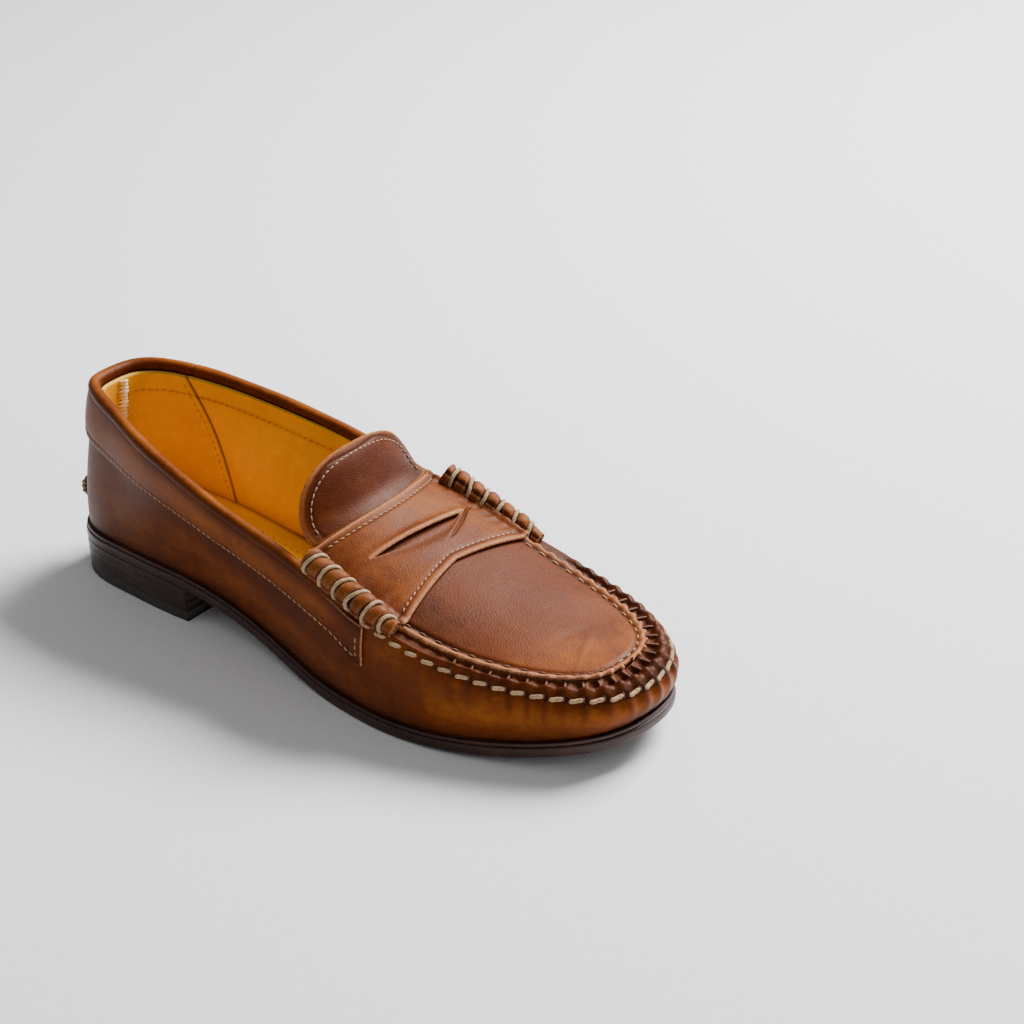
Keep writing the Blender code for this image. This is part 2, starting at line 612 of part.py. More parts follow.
def build_rolls():
    """The two beef rolls with their thread, and the cutters that make room for them."""
    cutters = []
    for side, name in ((1, "lateral"), (-1, "medial")):
        path = roll_path(side)
        tube("beef_roll_" + name, "leather", path, ROLL_R, sides=3)
        fine = roll_path(side, TURNS * 9 + 1)
        across, upward = roll_frame(fine)
        keep = slice(3, len(fine) - 3)
        angle = np.linspace(0, 2 * math.pi * TURNS, len(fine))[:, None]
        reach = ROLL_R + WRAP_THREAD_R + 0.25 * MM
        helix = fine + (across * np.cos(angle) + upward * np.sin(angle)) * reach
        tube("beef_roll_thread_" + name, "thread", helix[keep], WRAP_THREAD_R, sides=0)
        ends = roll_path(side, 9)
        start = ROLL_ROOM_LONGER * (ends[1] - ends[0]) / np.linalg.norm(ends[1] - ends[0])
        stop = ROLL_ROOM_LONGER * (ends[-1] - ends[-2]) / np.linalg.norm(ends[-1] - ends[-2])
        longer = np.vstack([ends[0] - start, ends, ends[-1] + stop])
        room = tube("roll_room_" + name, "steel", longer, reach + WRAP_THREAD_R + ROLL_CLEAR,
                    sides=4, collection=CUTTERS)
        cutters.append(as_cutter(room))
    return cutters


PLUG_FROM, PLUG_SHARE, PLUG_LIFT = 0.555, 0.985, 1.0 * MM   # starts under the strap, stops short of the lip


def build_plug(cutters):
    u = np.linspace(PLUG_FROM, 1, 23)[:, None]
    w = np.linspace(-PLUG_SHARE, PLUG_SHARE, 15)[None, :]
    plug = panel("plug", "leather", plug_surface(u, w) + [0, 0, PLUG_LIFT], PLUG_T)
    for cutter in cutters:
        cut(plug, cutter)


STRAP_BACK, STRAP_BOW = 0.562 * LENGTH, 8.0 * MM
STRAP_FRONT, STRAP_SPREAD = 0.680 * LENGTH, 5.5 * MM
STRAP_SHARE = 0.94                  # of the instep's half width
STRAP_LIFT = PLUG_LIFT + GAP + 1.25 * STRAP_T
SLOT_AT, SLOT_HALF, SLOT_TALL = 0.626 * LENGTH, 27.5 * MM, 2.1 * MM
SLOT_ASIDE, SLOT_TILT = -1.0 * MM, -2.2 * MM                # its middle is medial, its lateral end further back


def strap_edges(q):
    """Upper and lower edge of the strap: y at each q. The lower edge is a shallow arch."""
    upper = STRAP_BACK - STRAP_BOW * q**2
    lower = STRAP_FRONT + STRAP_SPREAD * np.abs(q)
    return upper, lower


def build_strap(cutters):
    q = np.linspace(-STRAP_SHARE, STRAP_SHARE, 19)[None, :]
    upper, lower = strap_edges(q)
    share = np.linspace(0, 1, 8)[:, None]
    y = upper + (lower - upper) * share
    strap = panel("saddle_strap", "strap", top(q + 0 * y, y, STRAP_LIFT), STRAP_T)
    for cutter in [*cutters, penny_slot()]:
        cut(strap, cutter)


def penny_slot():
    """Lens-shaped opening across the strap, bowed like the strap's upper edge."""
    across = np.linspace(-1, 1, 13)
    x = float(top(0.0, SLOT_AT)[0]) + SLOT_ASIDE + SLOT_HALF * across
    y = SLOT_AT - 0.45 * STRAP_BOW * across**2 + SLOT_TILT * across
    open_by = SLOT_TALL * (1 - across**2) + 0.15 * MM
    ring = list(zip(x, y + open_by)) + list(zip(x[::-1], (y - open_by)[::-1]))
    sections = [[(px, py, z) for px, py in ring] for z in (0.040, 0.100)]
    return as_cutter(loft("penny_slot", "steel", sections, collection=CUTTERS))


TONGUE_LONG = 27.0 * MM
TONGUE_HALF = 0.88                  # half width as a share of the instep's
TONGUE_STEEP = (math.radians(28), math.radians(59))


def tongue_point(q, s, lift, depth=0.0):
    """The tongue leaves the strap's upper edge and stands up steeper and steeper.

    s is the distance from its foot, depth goes down through its thickness.
    """
    fine = np.linspace(0, TONGUE_LONG, 200)
    angle = TONGUE_STEEP[0] + (TONGUE_STEEP[1] - TONGUE_STEEP[0]) * ramp(0, 10 * MM, fine)
    step = fine[1] - fine[0]
    back = np.cumsum(np.cos(angle)) * step
    rise = np.cumsum(np.sin(angle)) * step
    foot_y = strap_edges(q)[0] - 0.9 * MM - 1.5 * MM * q**2
    foot = top(q, foot_y + 0 * s, lift)
    steep = np.interp(s, fine, angle)
    shift_y = np.interp(s, fine, back) - back[0] + depth * np.sin(steep)
    shift_z = np.interp(s, fine, rise) - rise[0] - depth * np.cos(steep)
    return foot + np.stack([0 * q * s, -shift_y + 0 * q, shift_z + 0 * q], -1)


def tongue_grid(lift, shrink, depth=0.0):
    """Round-headed sheet: full width at its foot."""
    s = (TONGUE_LONG - shrink) * np.sin(np.linspace(0, 1, 11) * math.pi / 2)[:, None]
    half = TONGUE_HALF * np.clip(1 - (s / (TONGUE_LONG - shrink)) ** 2.6, 0.02, 1) ** 0.45
    q = np.linspace(-1, 1, 13)[None, :] * (half - shrink / (40 * MM))
    return tongue_point(q, s, lift, depth)


TONGUE_LIFT, TONGUE_T = 3.4 * MM, 1.6 * MM


def build_tongue():
    panel("tongue", "leather", tongue_grid(TONGUE_LIFT, 0.0), TONGUE_T)
    panel("tongue_lining", "lining", tongue_grid(TONGUE_LIFT, 0.8 * MM, TONGUE_T + LINING_T), LINING_T)


def build_seam_thread():
    """Heavy thread along the apron seam, on the wall just under its rim."""
    u = np.r_[np.linspace(0.715, 1, 26), np.linspace(-1, -0.715, 26)[1:]]
    tube("apron_seam_thread", "thread", wall(u, 0.90, -1.2 * MM), 0.75 * MM, sides=1)


def centre_on_box():
    """Hang everything on one empty, so that the origin lies under the middle of the whole shoe."""
    graph = bpy.context.evaluated_depsgraph_get()
    corners = []
    for obj in PARTS.objects:
        mesh = obj.evaluated_get(graph).to_mesh()
        corners += [obj.matrix_world @ v.co for v in mesh.vertices]
    points = np.array(corners)
    middle = (points.max(0) + points.min(0)) / 2
    frame = bpy.data.objects.new("shoe_frame", None)
    bpy.context.scene.collection.objects.link(frame)
    for obj in list(PARTS.objects) + list(CUTTERS.objects):
        obj.parent = frame
    frame.location = (-middle[0], -middle[1], 0.0)


build_sole()
build_heel()
ROLL_ROOM = build_rolls()
build_wrap(ROLL_ROOM)
build_linings(ROLL_ROOM)
build_band(ROLL_ROOM)
build_binding(ROLL_ROOM)
build_back_seam()
build_plug(ROLL_ROOM)
build_strap(ROLL_ROOM)
build_tongue()
build_seam_thread()
centre_on_box()
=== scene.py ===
"""Penny loafer, right shoe: the looks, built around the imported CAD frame.

The leather follows the same last as the CAD part: the sole's outline, the side of the upper and the
instep. The last is written in its own frame, heel at y = 0, and SHIFT moves it into the row frame.
"""
import math
import bpy
import bmesh
import numpy as np
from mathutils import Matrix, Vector


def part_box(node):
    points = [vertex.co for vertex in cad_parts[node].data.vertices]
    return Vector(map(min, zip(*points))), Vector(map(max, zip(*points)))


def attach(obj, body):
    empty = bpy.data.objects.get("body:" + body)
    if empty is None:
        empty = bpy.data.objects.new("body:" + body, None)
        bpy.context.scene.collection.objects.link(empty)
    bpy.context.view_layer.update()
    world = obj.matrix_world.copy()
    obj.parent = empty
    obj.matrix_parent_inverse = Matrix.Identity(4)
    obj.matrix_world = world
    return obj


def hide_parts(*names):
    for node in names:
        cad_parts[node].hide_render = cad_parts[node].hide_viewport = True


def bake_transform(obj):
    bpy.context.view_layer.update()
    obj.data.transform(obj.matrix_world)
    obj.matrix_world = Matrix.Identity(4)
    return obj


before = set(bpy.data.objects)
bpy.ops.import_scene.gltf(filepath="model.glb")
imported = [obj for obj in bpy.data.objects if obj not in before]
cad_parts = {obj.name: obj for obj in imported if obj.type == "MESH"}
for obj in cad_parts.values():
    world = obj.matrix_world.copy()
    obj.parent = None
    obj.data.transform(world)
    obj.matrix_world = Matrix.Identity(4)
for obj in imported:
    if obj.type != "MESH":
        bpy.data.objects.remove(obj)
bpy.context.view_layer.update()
RANDOM = np.random.default_rng(7)

# ---------------------------------------------------------------- driving dimensions of the last
LENGTH = 0.290
MM = 0.001
OUTLINE = [(0.002, 0.013), (0.056, 0.024), (0.086, 0.060), (0.101, 0.130), (0.110, 0.220), (0.112, 0.320),
           (0.121, 0.420), (0.145, 0.520), (0.168, 0.620), (0.175, 0.700), (0.163, 0.800), (0.130, 0.900),
           (0.076, 0.977), (0.000, 1.000), (-0.074, 0.981), (-0.130, 0.920), (-0.160, 0.825),
           (-0.166, 0.730), (-0.150, 0.630), (-0.115, 0.520), (-0.093, 0.420), (-0.087, 0.320),
           (-0.093, 0.220), (-0.100, 0.130), (-0.088, 0.060), (-0.054, 0.024)]
STATIONS = [0.0, 0.06, 0.16, 0.28, 0.39, 0.50, 0.63, 0.78, 0.90, 1.0]
TOP_HEIGHT_LAT = [87.0, 86.5, 83.0, 75.0, 67.0, 60.0, 48.5, 38.0, 34.2, 33.5]
TOP_HEIGHT_MED = [87.0, 86.5, 84.0, 77.0, 70.5, 64.0, 52.0, 40.0, 34.8, 33.5]
TOP_INSET_LAT = [8.0, 7.5, 1.0, -6.0, -8.5, -4.5, 1.5, 3.5, 4.0, 4.5]
TOP_INSET_MED = [8.0, 7.0, 0.0, -11.0, -14.0, -8.0, 1.0, 3.0, 3.0, 4.5]
BULGE_LOW = [1.5, 1.5, 2.0, 2.0, 2.0, 2.0, 2.5, 3.0, 3.5, 4.0]
BULGE_HIGH = [1.5, 1.5, 1.0, 0.5, 0.5, 1.0, 3.0, 4.0, 5.0, 5.5]
LEDGE_LAT = [4.5, 4.5, 4.5, 4.5, 4.5, 4.5, 4.5, 4.8, 6.0, 8.5]
LEDGE_MED = [5.0, 5.0, 5.0, 5.0, 5.0, 5.0, 6.0, 8.0, 8.5, 8.5]
LEDGE_RISE = 0.4
CREST_AT = [0.38, 0.44, 0.50, 0.56, 0.63, 0.70, 0.78, 0.86, 0.93, 0.965]
CREST_HEIGHT = [85.0, 79.5, 73.0, 66.0, 58.0, 51.5, 44.8, 39.2, 35.8, 34.8]
SPINE_BACK = 27.0 * MM              # how far the plug's centre line stops behind the toe seam
SPINE_CREEP = 8.0 * MM              # keeps that line running forward to its end, so the plug has no fold
GAP = 0.3 * MM
OUTSOLE_T, MIDSOLE_T = 4.2 * MM, 1.6 * MM
SOLE_T = OUTSOLE_T + GAP + MIDSOLE_T
FEATHER_IN = 1.8 * MM
HEEL_DROP, HEEL_LEVEL, HEEL_BREAST = 16.0 * MM, (0.22, 0.58), 0.270 * LENGTH
TOE_SPRING, SPRING_FROM = 12.5 * MM, 0.66
TOP_PIECE_T, LIFT_COUNT = 4.4 * MM, 3
BIND_R = 2.2 * MM
LINING_DEEP = 2.15 * MM             # linings start this far inside the wall
LINING_T = 0.9 * MM
COUNTER_ROOM = 1.5 * MM             # extra depth of the linings over the heel counter
REAR_END, SEAM_FROM = 0.565, 0.60   # |u| where the quarters hand over to the apron seam
LINING_END, BAND_END = 0.5234, 0.6154
BEAD_END = 0.60                     # the bead runs on under the beef roll
POCKET_TOP, POCKET_LOW = 0.150, 0.235
STITCH_PITCH = 7.3 * MM             # apron seam
COLLAR_ROW = 2.7 * MM               # stitch row above the band's lower edge
STRAP_ROWS = 2.7 * MM, 2.9 * MM     # stitch rows inside the strap's back and front edges
LINING_ROW = 13.0 * MM              # stitch row below the topline
SOCK_ROW = 8.5 * MM                 # stitch row inside the sock liner's edge
FINE_THREAD = 0.30 * MM             # radius of the machine stitching


# ---------------------------------------------------------------- the last
def cubic(keys, values, x, closed=False):
    """Cubic spline through the values at the keys, natural at its ends or closed on itself."""
    k = np.asarray(keys, float)
    v = np.asarray(values, float)
    n = len(k)
    h = np.diff(k)
    slope = (np.diff(v, axis=0).T / h).T
    system = np.zeros((n, n))
    right = np.zeros(v.shape)
    for i in range(1, n - 1):
        system[i, i - 1:i + 2] = h[i - 1], 2 * (h[i - 1] + h[i]), h[i]
        right[i] = 6 * (slope[i] - slope[i - 1])
    if closed:
        system[0, [0, 1, n - 2]] = 2 * (h[0] + h[-1]), h[0], h[-1]
        right[0] = 6 * (slope[0] - slope[-1])
        system[-1, [0, n - 1]] = 1, -1
    else:
        system[0, 0] = system[-1, -1] = 1
    m = np.linalg.solve(system, right)
    x = np.asarray(x, float)
    i = np.clip(np.searchsorted(k, x, side="right") - 1, 0, n - 2)
    t = x - k[i]
    hi = h[i]
    if v.ndim > 1:
        t = t[..., None]
        hi = hi[..., None]
    first = slope[i] - hi * (2 * m[i] + m[i + 1]) / 6
    return v[i] + first * t + m[i] / 2 * t**2 + (m[i + 1] - m[i]) / (6 * hi) * t**3


def length_along(points):
    """Distance along a line of points, from 0 at its first point."""
    return np.r_[0, np.cumsum(np.linalg.norm(np.diff(points, axis=0), axis=1))]


def outline_table(count=4000):
    """Dense outline: the parameter u, the points and the outward normals."""
    points = np.array(OUTLINE + [OUTLINE[0]]) * LENGTH
    chord = length_along(points)
    dense = cubic(chord, points, np.linspace(0, chord[-1], count), closed=True)[:-1]
    dense = np.roll(dense, -np.argmin(dense[:, 1]), axis=0)
    toe = np.argmax(dense[:, 1])
    dense = np.vstack([dense, dense[:1]])
    arc = length_along(dense)
    lateral = np.arange(len(arc)) <= toe
    u = np.where(lateral, arc / arc[toe], (arc - arc[-1]) / (arc[-1] - arc[toe]))
    tangent = np.gradient(dense, arc, axis=0)
    tangent[0] = tangent[-1] = tangent[1] + tangent[-2]
    tangent /= np.linalg.norm(tangent, axis=1)[:, None]
    normal = np.stack([tangent[:, 1], -tangent[:, 0]], 1)
    order = np.r_[np.arange(toe + 1, len(arc)), np.arange(0, toe + 1)]
    u = np.r_[-1.0, u[order]]
    return u, np.vstack([dense[toe], dense[order]]), np.vstack([normal[toe], normal[order]])


TABLE_U, TABLE_P, TABLE_N = outline_table()


def edge(u):
    """Point and outward normal of the sole's outline: u is 0 at the heel and 1 or -1 at the toe."""
    u = np.asarray(u, float)
    point = np.stack([np.interp(u, TABLE_U, TABLE_P[:, i]) for i in (0, 1)], -1)
    normal = np.stack([np.interp(u, TABLE_U, TABLE_N[:, i]) for i in (0, 1)], -1)
    return point, normal / np.linalg.norm(normal, axis=-1)[..., None]


def ramp(a, b, x):
    """Smooth step from 0 at a to 1 at b."""
    t = np.clip((x - a) / (b - a), 0, 1)
    return t * t * (3 - 2 * t)


def hill(x, width):
    """Smooth bump of height 1 about x = 0."""
    return np.exp(-(x / width) ** 2)


def sole_bottom(y):
    """Height of the outsole's lower face above the ground."""
    f = np.asarray(y) / LENGTH
    spring = np.clip((f - SPRING_FROM) / (1 - SPRING_FROM), 0, None) ** 2
    return HEEL_DROP * (1 - ramp(*HEEL_LEVEL, f)) + TOE_SPRING * spring


def by_side(u, lateral, medial):
    """A size in metres from its values in mm at the stations, one list for each side."""
    f = edge(u)[0][..., 1] / LENGTH
    return np.where(np.asarray(u) >= 0, cubic(STATIONS, lateral, f), cubic(STATIONS, medial, f)) * MM


def wall(u, v, d=0.0):
    """The side of the upper: v from 0 at the sole to 1 at the top edge, d metres inwards."""
    u, v, d = np.broadcast_arrays(np.asarray(u, float), np.asarray(v, float), np.asarray(d, float))
    point, normal = edge(u)
    low = sole_bottom(point[..., 1]) + SOLE_T + GAP
    high = by_side(u, TOP_HEIGHT_LAT, TOP_HEIGHT_MED)
    inset = by_side(u, TOP_INSET_LAT, TOP_INSET_MED)
    h = high - low
    knots = [np.stack([-FEATHER_IN + 0 * h, low], -1),
             np.stack([-FEATHER_IN + by_side(u, BULGE_LOW, BULGE_LOW), low + 0.36 * h], -1),
             np.stack([-inset + by_side(u, BULGE_HIGH, BULGE_HIGH), high - 0.30 * h], -1),
             np.stack([-inset, high], -1)]
    v = v[..., None]
    w = ((1 - v)**3 * knots[0] + 3 * v * (1 - v)**2 * knots[1]
         + 3 * v**2 * (1 - v) * knots[2] + v**3 * knots[3])
    t = ((1 - v)**2 * (knots[1] - knots[0]) + 2 * v * (1 - v) * (knots[2] - knots[1])
         + v**2 * (knots[3] - knots[2]))
    t = t / np.linalg.norm(t, axis=-1)[..., None]
    w = w + np.stack([-t[..., 1], t[..., 0]], -1) * d[..., None]
    return np.concatenate([point + normal * w[..., :1], w[..., 1:]], -1)


def wall_height(u):
    """Height of the upper's wall above its foot."""
    return wall(u, 1.0)[..., 2] - wall(u, 0.0)[..., 2]


def lip(u):
    """Inner edge of the ledge, where the plug is sewn to the wrap."""
    normal = edge(u)[1]
    rim = wall(u, 1.0)
    width = by_side(u, LEDGE_LAT, LEDGE_MED)[..., None]
    return np.concatenate([rim[..., :2] - normal * width, rim[..., 2:] + LEDGE_RISE * MM], -1)


LIP_U = np.linspace(0.25, 1, 1500)
LIP_LAT, LIP_MED = lip(LIP_U), lip(-LIP_U)


def crest(y):
    """Height of the instep's centre line."""
    return cubic(CREST_AT, CREST_HEIGHT, np.asarray(y) / LENGTH) * MM


def top(q, y, d=0.0):
    """The instep: q from -1 at the medial lip to 1 at the lateral lip, d metres upwards."""
    q, y, d = np.broadcast_arrays(np.asarray(q, float), np.asarray(y, float), np.asarray(d, float))
    xl, zl = (np.interp(y, LIP_LAT[:, 1], LIP_LAT[:, i]) for i in (0, 2))
    xm, zm = (np.interp(y, LIP_MED[:, 1], LIP_MED[:, i]) for i in (0, 2))
    x = (xl + xm) / 2 + q * (xl - xm) / 2
    rim = np.where(q >= 0, zl, zm)
    return np.stack([x, y, rim * q * q + crest(y) * (1 - q * q) + d], -1)


def plug_surface(u, w):
    """The plug in rings: u from the strap to the toe, w from -1 (medial lip) to 1 (lateral lip)."""
    u, w = np.broadcast_arrays(np.asarray(u, float), np.asarray(w, float))
    a, b = lip(u), lip(-u)
    rim = np.where((w >= 0)[..., None], a, b)
    q = np.abs(w)
    spine_y = (a[..., 1] + b[..., 1]) / 2 - SPINE_BACK * ramp(0.70, 1.0, u)
    spine_y = spine_y + SPINE_CREEP * np.maximum(0, u - 0.88)
    spine_x = (a[..., 0] + b[..., 0]) / 2
    z = rim[..., 2] + (crest(spine_y) - rim[..., 2]) * (1 - q * q)
    return np.stack([rim[..., 0] * q + spine_x * (1 - q), rim[..., 1] * q + spine_y * (1 - q), z], -1)


def u_at(y, side):
    """The outline's u where it passes y, on side 1 or -1."""
    u = np.linspace(0, 1, 4000) * side
    return np.interp(y, edge(u)[0][:, 1], u)


def cap_drop(u):
    """Share of the wall that the bead along the topline takes."""
    rear = 1 - ramp(REAR_END, SEAM_FROM, np.abs(u))
    return rear * (2 * BIND_R + GAP) / wall_height(u)


def frame_shift():
    """From the last's frame to the row frame, read from the outsole, whose outline is the last's."""
    low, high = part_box("outsole")
    own_low, own_high = TABLE_P.min(0), TABLE_P.max(0)
    middle = [(low[i] + high[i]) / 2 - (own_low[i] + own_high[i]) / 2 for i in (0, 1)]
    return np.array([*middle, 0.0])


SHIFT = frame_shift()
SEAM_TABLE = np.linspace(-1, 1, 4001)
SEAM_ARC = length_along(wall(SEAM_TABLE, 1.0))


def seam_distance(u):
    """Distance along the rim from the toe: positive on the lateral side, negative on the medial side."""
    s = np.interp(u, SEAM_TABLE, SEAM_ARC)
    return np.where(np.asarray(u) >= 0, SEAM_ARC[-1] - s, -s)


def u_of_seam(s):
    """The outline's u at a distance along the rim: undoes seam_distance."""
    s = np.asarray(s, float)
    return np.interp(np.where(s >= 0, SEAM_ARC[-1] - s, -s), SEAM_ARC, SEAM_TABLE)


# ---------------------------------------------------------------- materials
class Paint:
    """Writes one procedural material."""

    def __init__(self, name, roughness=0.5, **shader):
        self.material = bpy.data.materials.new(name)
        self.material.use_nodes = True
        self.tree = self.material.node_tree
        self.shader = self.tree.nodes["Principled BSDF"]
        self.shader.inputs["Roughness"].default_value = roughness
        for key, value in shader.items():
            self.shader.inputs[key.replace("_", " ")].default_value = value
        self.place = self.tree.nodes.new("ShaderNodeTexCoord").outputs["Object"]

    def feed(self, socket, value):
        if isinstance(value, bpy.types.NodeSocket):
            self.tree.links.new(value, socket)
        elif isinstance(value, tuple) and len(value) == 3 and socket.type == "RGBA":
            socket.default_value = (*value, 1.0)
        else:
            socket.default_value = value

    def stretched(self, scale):
        node = self.tree.nodes.new("ShaderNodeMapping")
        self.feed(node.inputs["Vector"], self.place)
        self.feed(node.inputs["Scale"], scale)
        return node.outputs["Vector"]

    def noise(self, scale, detail=4.0, rough=0.5, place=None):
        node = self.tree.nodes.new("ShaderNodeTexNoise")
        self.feed(node.inputs["Vector"], place or self.place)
        for key, value in (("Scale", scale), ("Detail", detail), ("Roughness", rough)):
            self.feed(node.inputs[key], value)
        return node.outputs["Fac"]

    def cells(self, scale):
        node = self.tree.nodes.new("ShaderNodeTexVoronoi")
        node.feature = "DISTANCE_TO_EDGE"
        self.feed(node.inputs["Vector"], self.place)
        self.feed(node.inputs["Scale"], scale)
        return node.outputs["Distance"]

    def fit(self, value, low, high, to_low=0.0, to_high=1.0):
        node = self.tree.nodes.new("ShaderNodeMapRange")
        for key, v in zip(("Value", "From Min", "From Max", "To Min", "To Max"),
                          (value, low, high, to_low, to_high)):
            self.feed(node.inputs[key], v)
        return node.outputs["Result"]

    def math(self, operation, a, b=0.0):
        node = self.tree.nodes.new("ShaderNodeMath")
        node.operation = operation
        self.feed(node.inputs[0], a)
        self.feed(node.inputs[1], b)
        return node.outputs[0]

    def mix(self, a, b, share):
        node = self.tree.nodes.new("ShaderNodeMix")
        node.data_type = "RGBA"
        self.feed(node.inputs[0], share)
        self.feed(node.inputs[6], a)
        self.feed(node.inputs[7], b)
        return node.outputs[2]

    def mark(self, name):
        node = self.tree.nodes.new("ShaderNodeAttribute")
        node.attribute_name = name
        return node.outputs["Fac"]

    def bump(self, height, strength, distance, normal=None):
        node = self.tree.nodes.new("ShaderNodeBump")
        self.feed(node.inputs["Height"], height)
        self.feed(node.inputs["Strength"], strength)
        self.feed(node.inputs["Distance"], distance)
        if normal is not None:
            self.feed(node.inputs["Normal"], normal)
        return node.outputs["Normal"]

    def done(self, colour, normal=None, roughness=None):
        self.feed(self.shader.inputs["Base Color"], colour)
        if normal is not None:
            self.feed(self.shader.inputs["Normal"], normal)
        if roughness is not None:
            self.feed(self.shader.inputs["Roughness"], roughness)
        return self.material


WAX_TINT = (1.0, 0.55, 0.36, 1.0)     # waxed leather reflects warmly


def leather(name, base, dark, light, raw=(0.46, 0.185, 0.090), wine=(0.062, 0.0085, 0.0022)):
    """Waxy full-grain leather. The mark tone says where it is darker or lighter, from burnish and wear and
    from painted shade and painted highlight; wine says where it is glazed and cut where it is raw.
    """
    p = Paint(name, Specular_IOR_Level=0.16, Specular_Tint=WAX_TINT)
    broad = p.noise(38.0, 5.0, 0.6)
    fine = p.noise(210.0, 6.0, 0.65)
    pores = p.noise(1500.0, 3.0, 0.6)
    grain = p.cells(900.0)
    streaks = p.noise(70.0, 5.0, 0.6, p.stretched((1.0, 0.35, 1.6)))
    tone = p.math("ADD", p.mark("tone"), p.fit(broad, 0.28, 0.72, -0.34, 0.30))
    tone = p.math("ADD", tone, p.fit(fine, 0.3, 0.7, -0.15, 0.15))
    tone = p.math("ADD", tone, p.fit(streaks, 0.3, 0.7, -0.16, 0.16))
    colour = p.mix(base, light, p.fit(tone, 0.0, 1.0))
    colour = p.mix(colour, dark, p.fit(tone, 0.0, -1.0))
    glaze = p.math("MULTIPLY", p.mark("wine"), p.fit(broad, 0.2, 0.8, 0.65, 1.25))
    colour = p.mix(colour, wine, p.math("MINIMUM", glaze, 0.95))
    fibres = p.mix(raw, tuple(0.55 * c for c in raw), p.fit(p.noise(900.0, 3.0), 0.35, 0.7))
    colour = p.mix(colour, fibres, p.mark("cut"))
    normal = p.bump(grain, 0.42, 0.00030)
    normal = p.bump(pores, 0.22, 0.00022, normal)
    normal = p.bump(streaks, 0.16, 0.0016, normal)
    rough = p.fit(broad, 0.3, 0.7, 0.41, 0.53)
    rough = p.math("ADD", rough, p.fit(fine, 0.3, 0.7, -0.04, 0.05))
    rough = p.math("ADD", rough, p.math("MULTIPLY", p.mark("cut"), 0.3))
    return p.done(colour, normal, rough)


def lining_leather(name):
    """Yellow calf. The mark tone darkens it at seams, stitch rows and where it is worn, and as painted shade
    where lining and sock liner meet; cut shows its raw edge.
    """
    p = Paint(name, Specular_IOR_Level=0.12)
    broad = p.noise(45.0, 5.0, 0.6)
    fine = p.noise(320.0, 5.0, 0.6)
    colour = p.mix((0.72, 0.352, 0.0035), (0.59, 0.262, 0.0025), p.fit(broad, 0.3, 0.75))
    colour = p.mix(colour, (0.80, 0.43, 0.010), p.fit(fine, 0.5, 0.8, 0.0, 0.5))
    colour = p.mix(colour, (0.17, 0.045, 0.004), p.mark("tone"))
    colour = p.mix(colour, (0.62, 0.35, 0.10), p.mark("cut"))
    normal = p.bump(p.cells(750.0), 0.18, 0.00018)
    normal = p.bump(fine, 0.12, 0.0004, normal)
    return p.done(colour, normal, p.fit(fine, 0.3, 0.7, 0.50, 0.64))


def thread_paint(name, light, shade):
    """Waxed linen thread."""
    p = Paint(name, Specular_IOR_Level=0.35, Sheen_Weight=0.12)
    fine = p.noise(1600.0, 3.0, 0.6)
    colour = p.mix(shade, light, p.fit(fine, 0.35, 0.62))
    colour = p.mix(colour, tuple(0.62 * c for c in shade), p.fit(p.noise(130.0, 3.0), 0.52, 0.78, 0.0, 0.7))
    return p.done(colour, p.bump(fine, 0.5, 0.0003), p.fit(fine, 0.3, 0.7, 0.62, 0.8))


def edge_leather(name, base, dark, light, layers=0.0):
    """Cut, stained and waxed edges: horizontal fibre lines."""
    p = Paint(name, Coat_Weight=0.10, Coat_Roughness=0.3, Specular_IOR_Level=0.3)
    lines = p.noise(60.0, 5.0, 0.65, p.stretched((0.5, 0.5, 22.0 + layers)))
    patch = p.noise(55.0, 5.0, 0.6)
    fine = p.noise(700.0, 4.0, 0.6)
    colour = p.mix(base, dark, p.fit(lines, 0.42, 0.66))
    colour = p.mix(colour, light, p.fit(patch, 0.52, 0.80, 0.0, 0.75))
    colour = p.mix(colour, light, p.mark("cut"))
    normal = p.bump(lines, 0.30, 0.0006)
    normal = p.bump(fine, 0.15, 0.0003, normal)
    return p.done(colour, normal, p.fit(patch, 0.3, 0.7, 0.34, 0.52))


def plain(name, a, b, scale, roughness, bump=0.2, metallic=0.0):
    """Rubber, board, cork and metal: two close colours in a fine grain."""
    p = Paint(name, Metallic=metallic)
    grain = p.noise(scale, 5.0, 0.65)
    patch = p.noise(scale * 0.12, 4.0, 0.6)
    colour = p.mix(a, b, p.fit(grain, 0.35, 0.65))
    colour = p.mix(colour, tuple(0.7 * c for c in b), p.fit(patch, 0.5, 0.8, 0.0, 0.5))
    rough = p.fit(patch, 0.3, 0.7, roughness - 0.05, roughness + 0.07)
    return p.done(colour, p.bump(grain, bump, 0.0003), rough)


# each leather: its colour, then its dark colour, for burnish and painted shade, and its light colour, for wear
# and painted highlight
UPPER = leather("upper_leather",
                (0.112, 0.0225, 0.0022), (0.013, 0.0024, 0.0006), (0.330, 0.090, 0.0095))
STRAP_SKIN = leather("strap_leather",
                     (0.120, 0.0260, 0.0030), (0.018, 0.0036, 0.0010), (0.320, 0.094, 0.0125))
TONGUE_SKIN = leather("tongue_leather",
                      (0.062, 0.0115, 0.0014), (0.012, 0.0022, 0.0006), (0.22, 0.055, 0.0070),
                      raw=(0.40, 0.13, 0.04), wine=(0.046, 0.0070, 0.0024))
ROLL_SKIN = leather("roll_leather",
                    (0.120, 0.0290, 0.0045), (0.011, 0.0022, 0.0008), (0.29, 0.090, 0.0180))
LINING = lining_leather("lining_leather")
THREAD = thread_paint("natural_thread", (0.44, 0.285, 0.150), (0.27, 0.150, 0.064))
TAN_THREAD = thread_paint("tan_thread", (0.50, 0.29, 0.15), (0.30, 0.15, 0.065))
DARK_THREAD = thread_paint("brown_thread", (0.150, 0.055, 0.018), (0.075, 0.024, 0.008))
GOLD_THREAD = thread_paint("lining_thread", (0.50, 0.19, 0.012), (0.36, 0.11, 0.006))
PALE_THREAD = thread_paint("pale_thread", (0.80, 0.62, 0.36), (0.66, 0.44, 0.16))
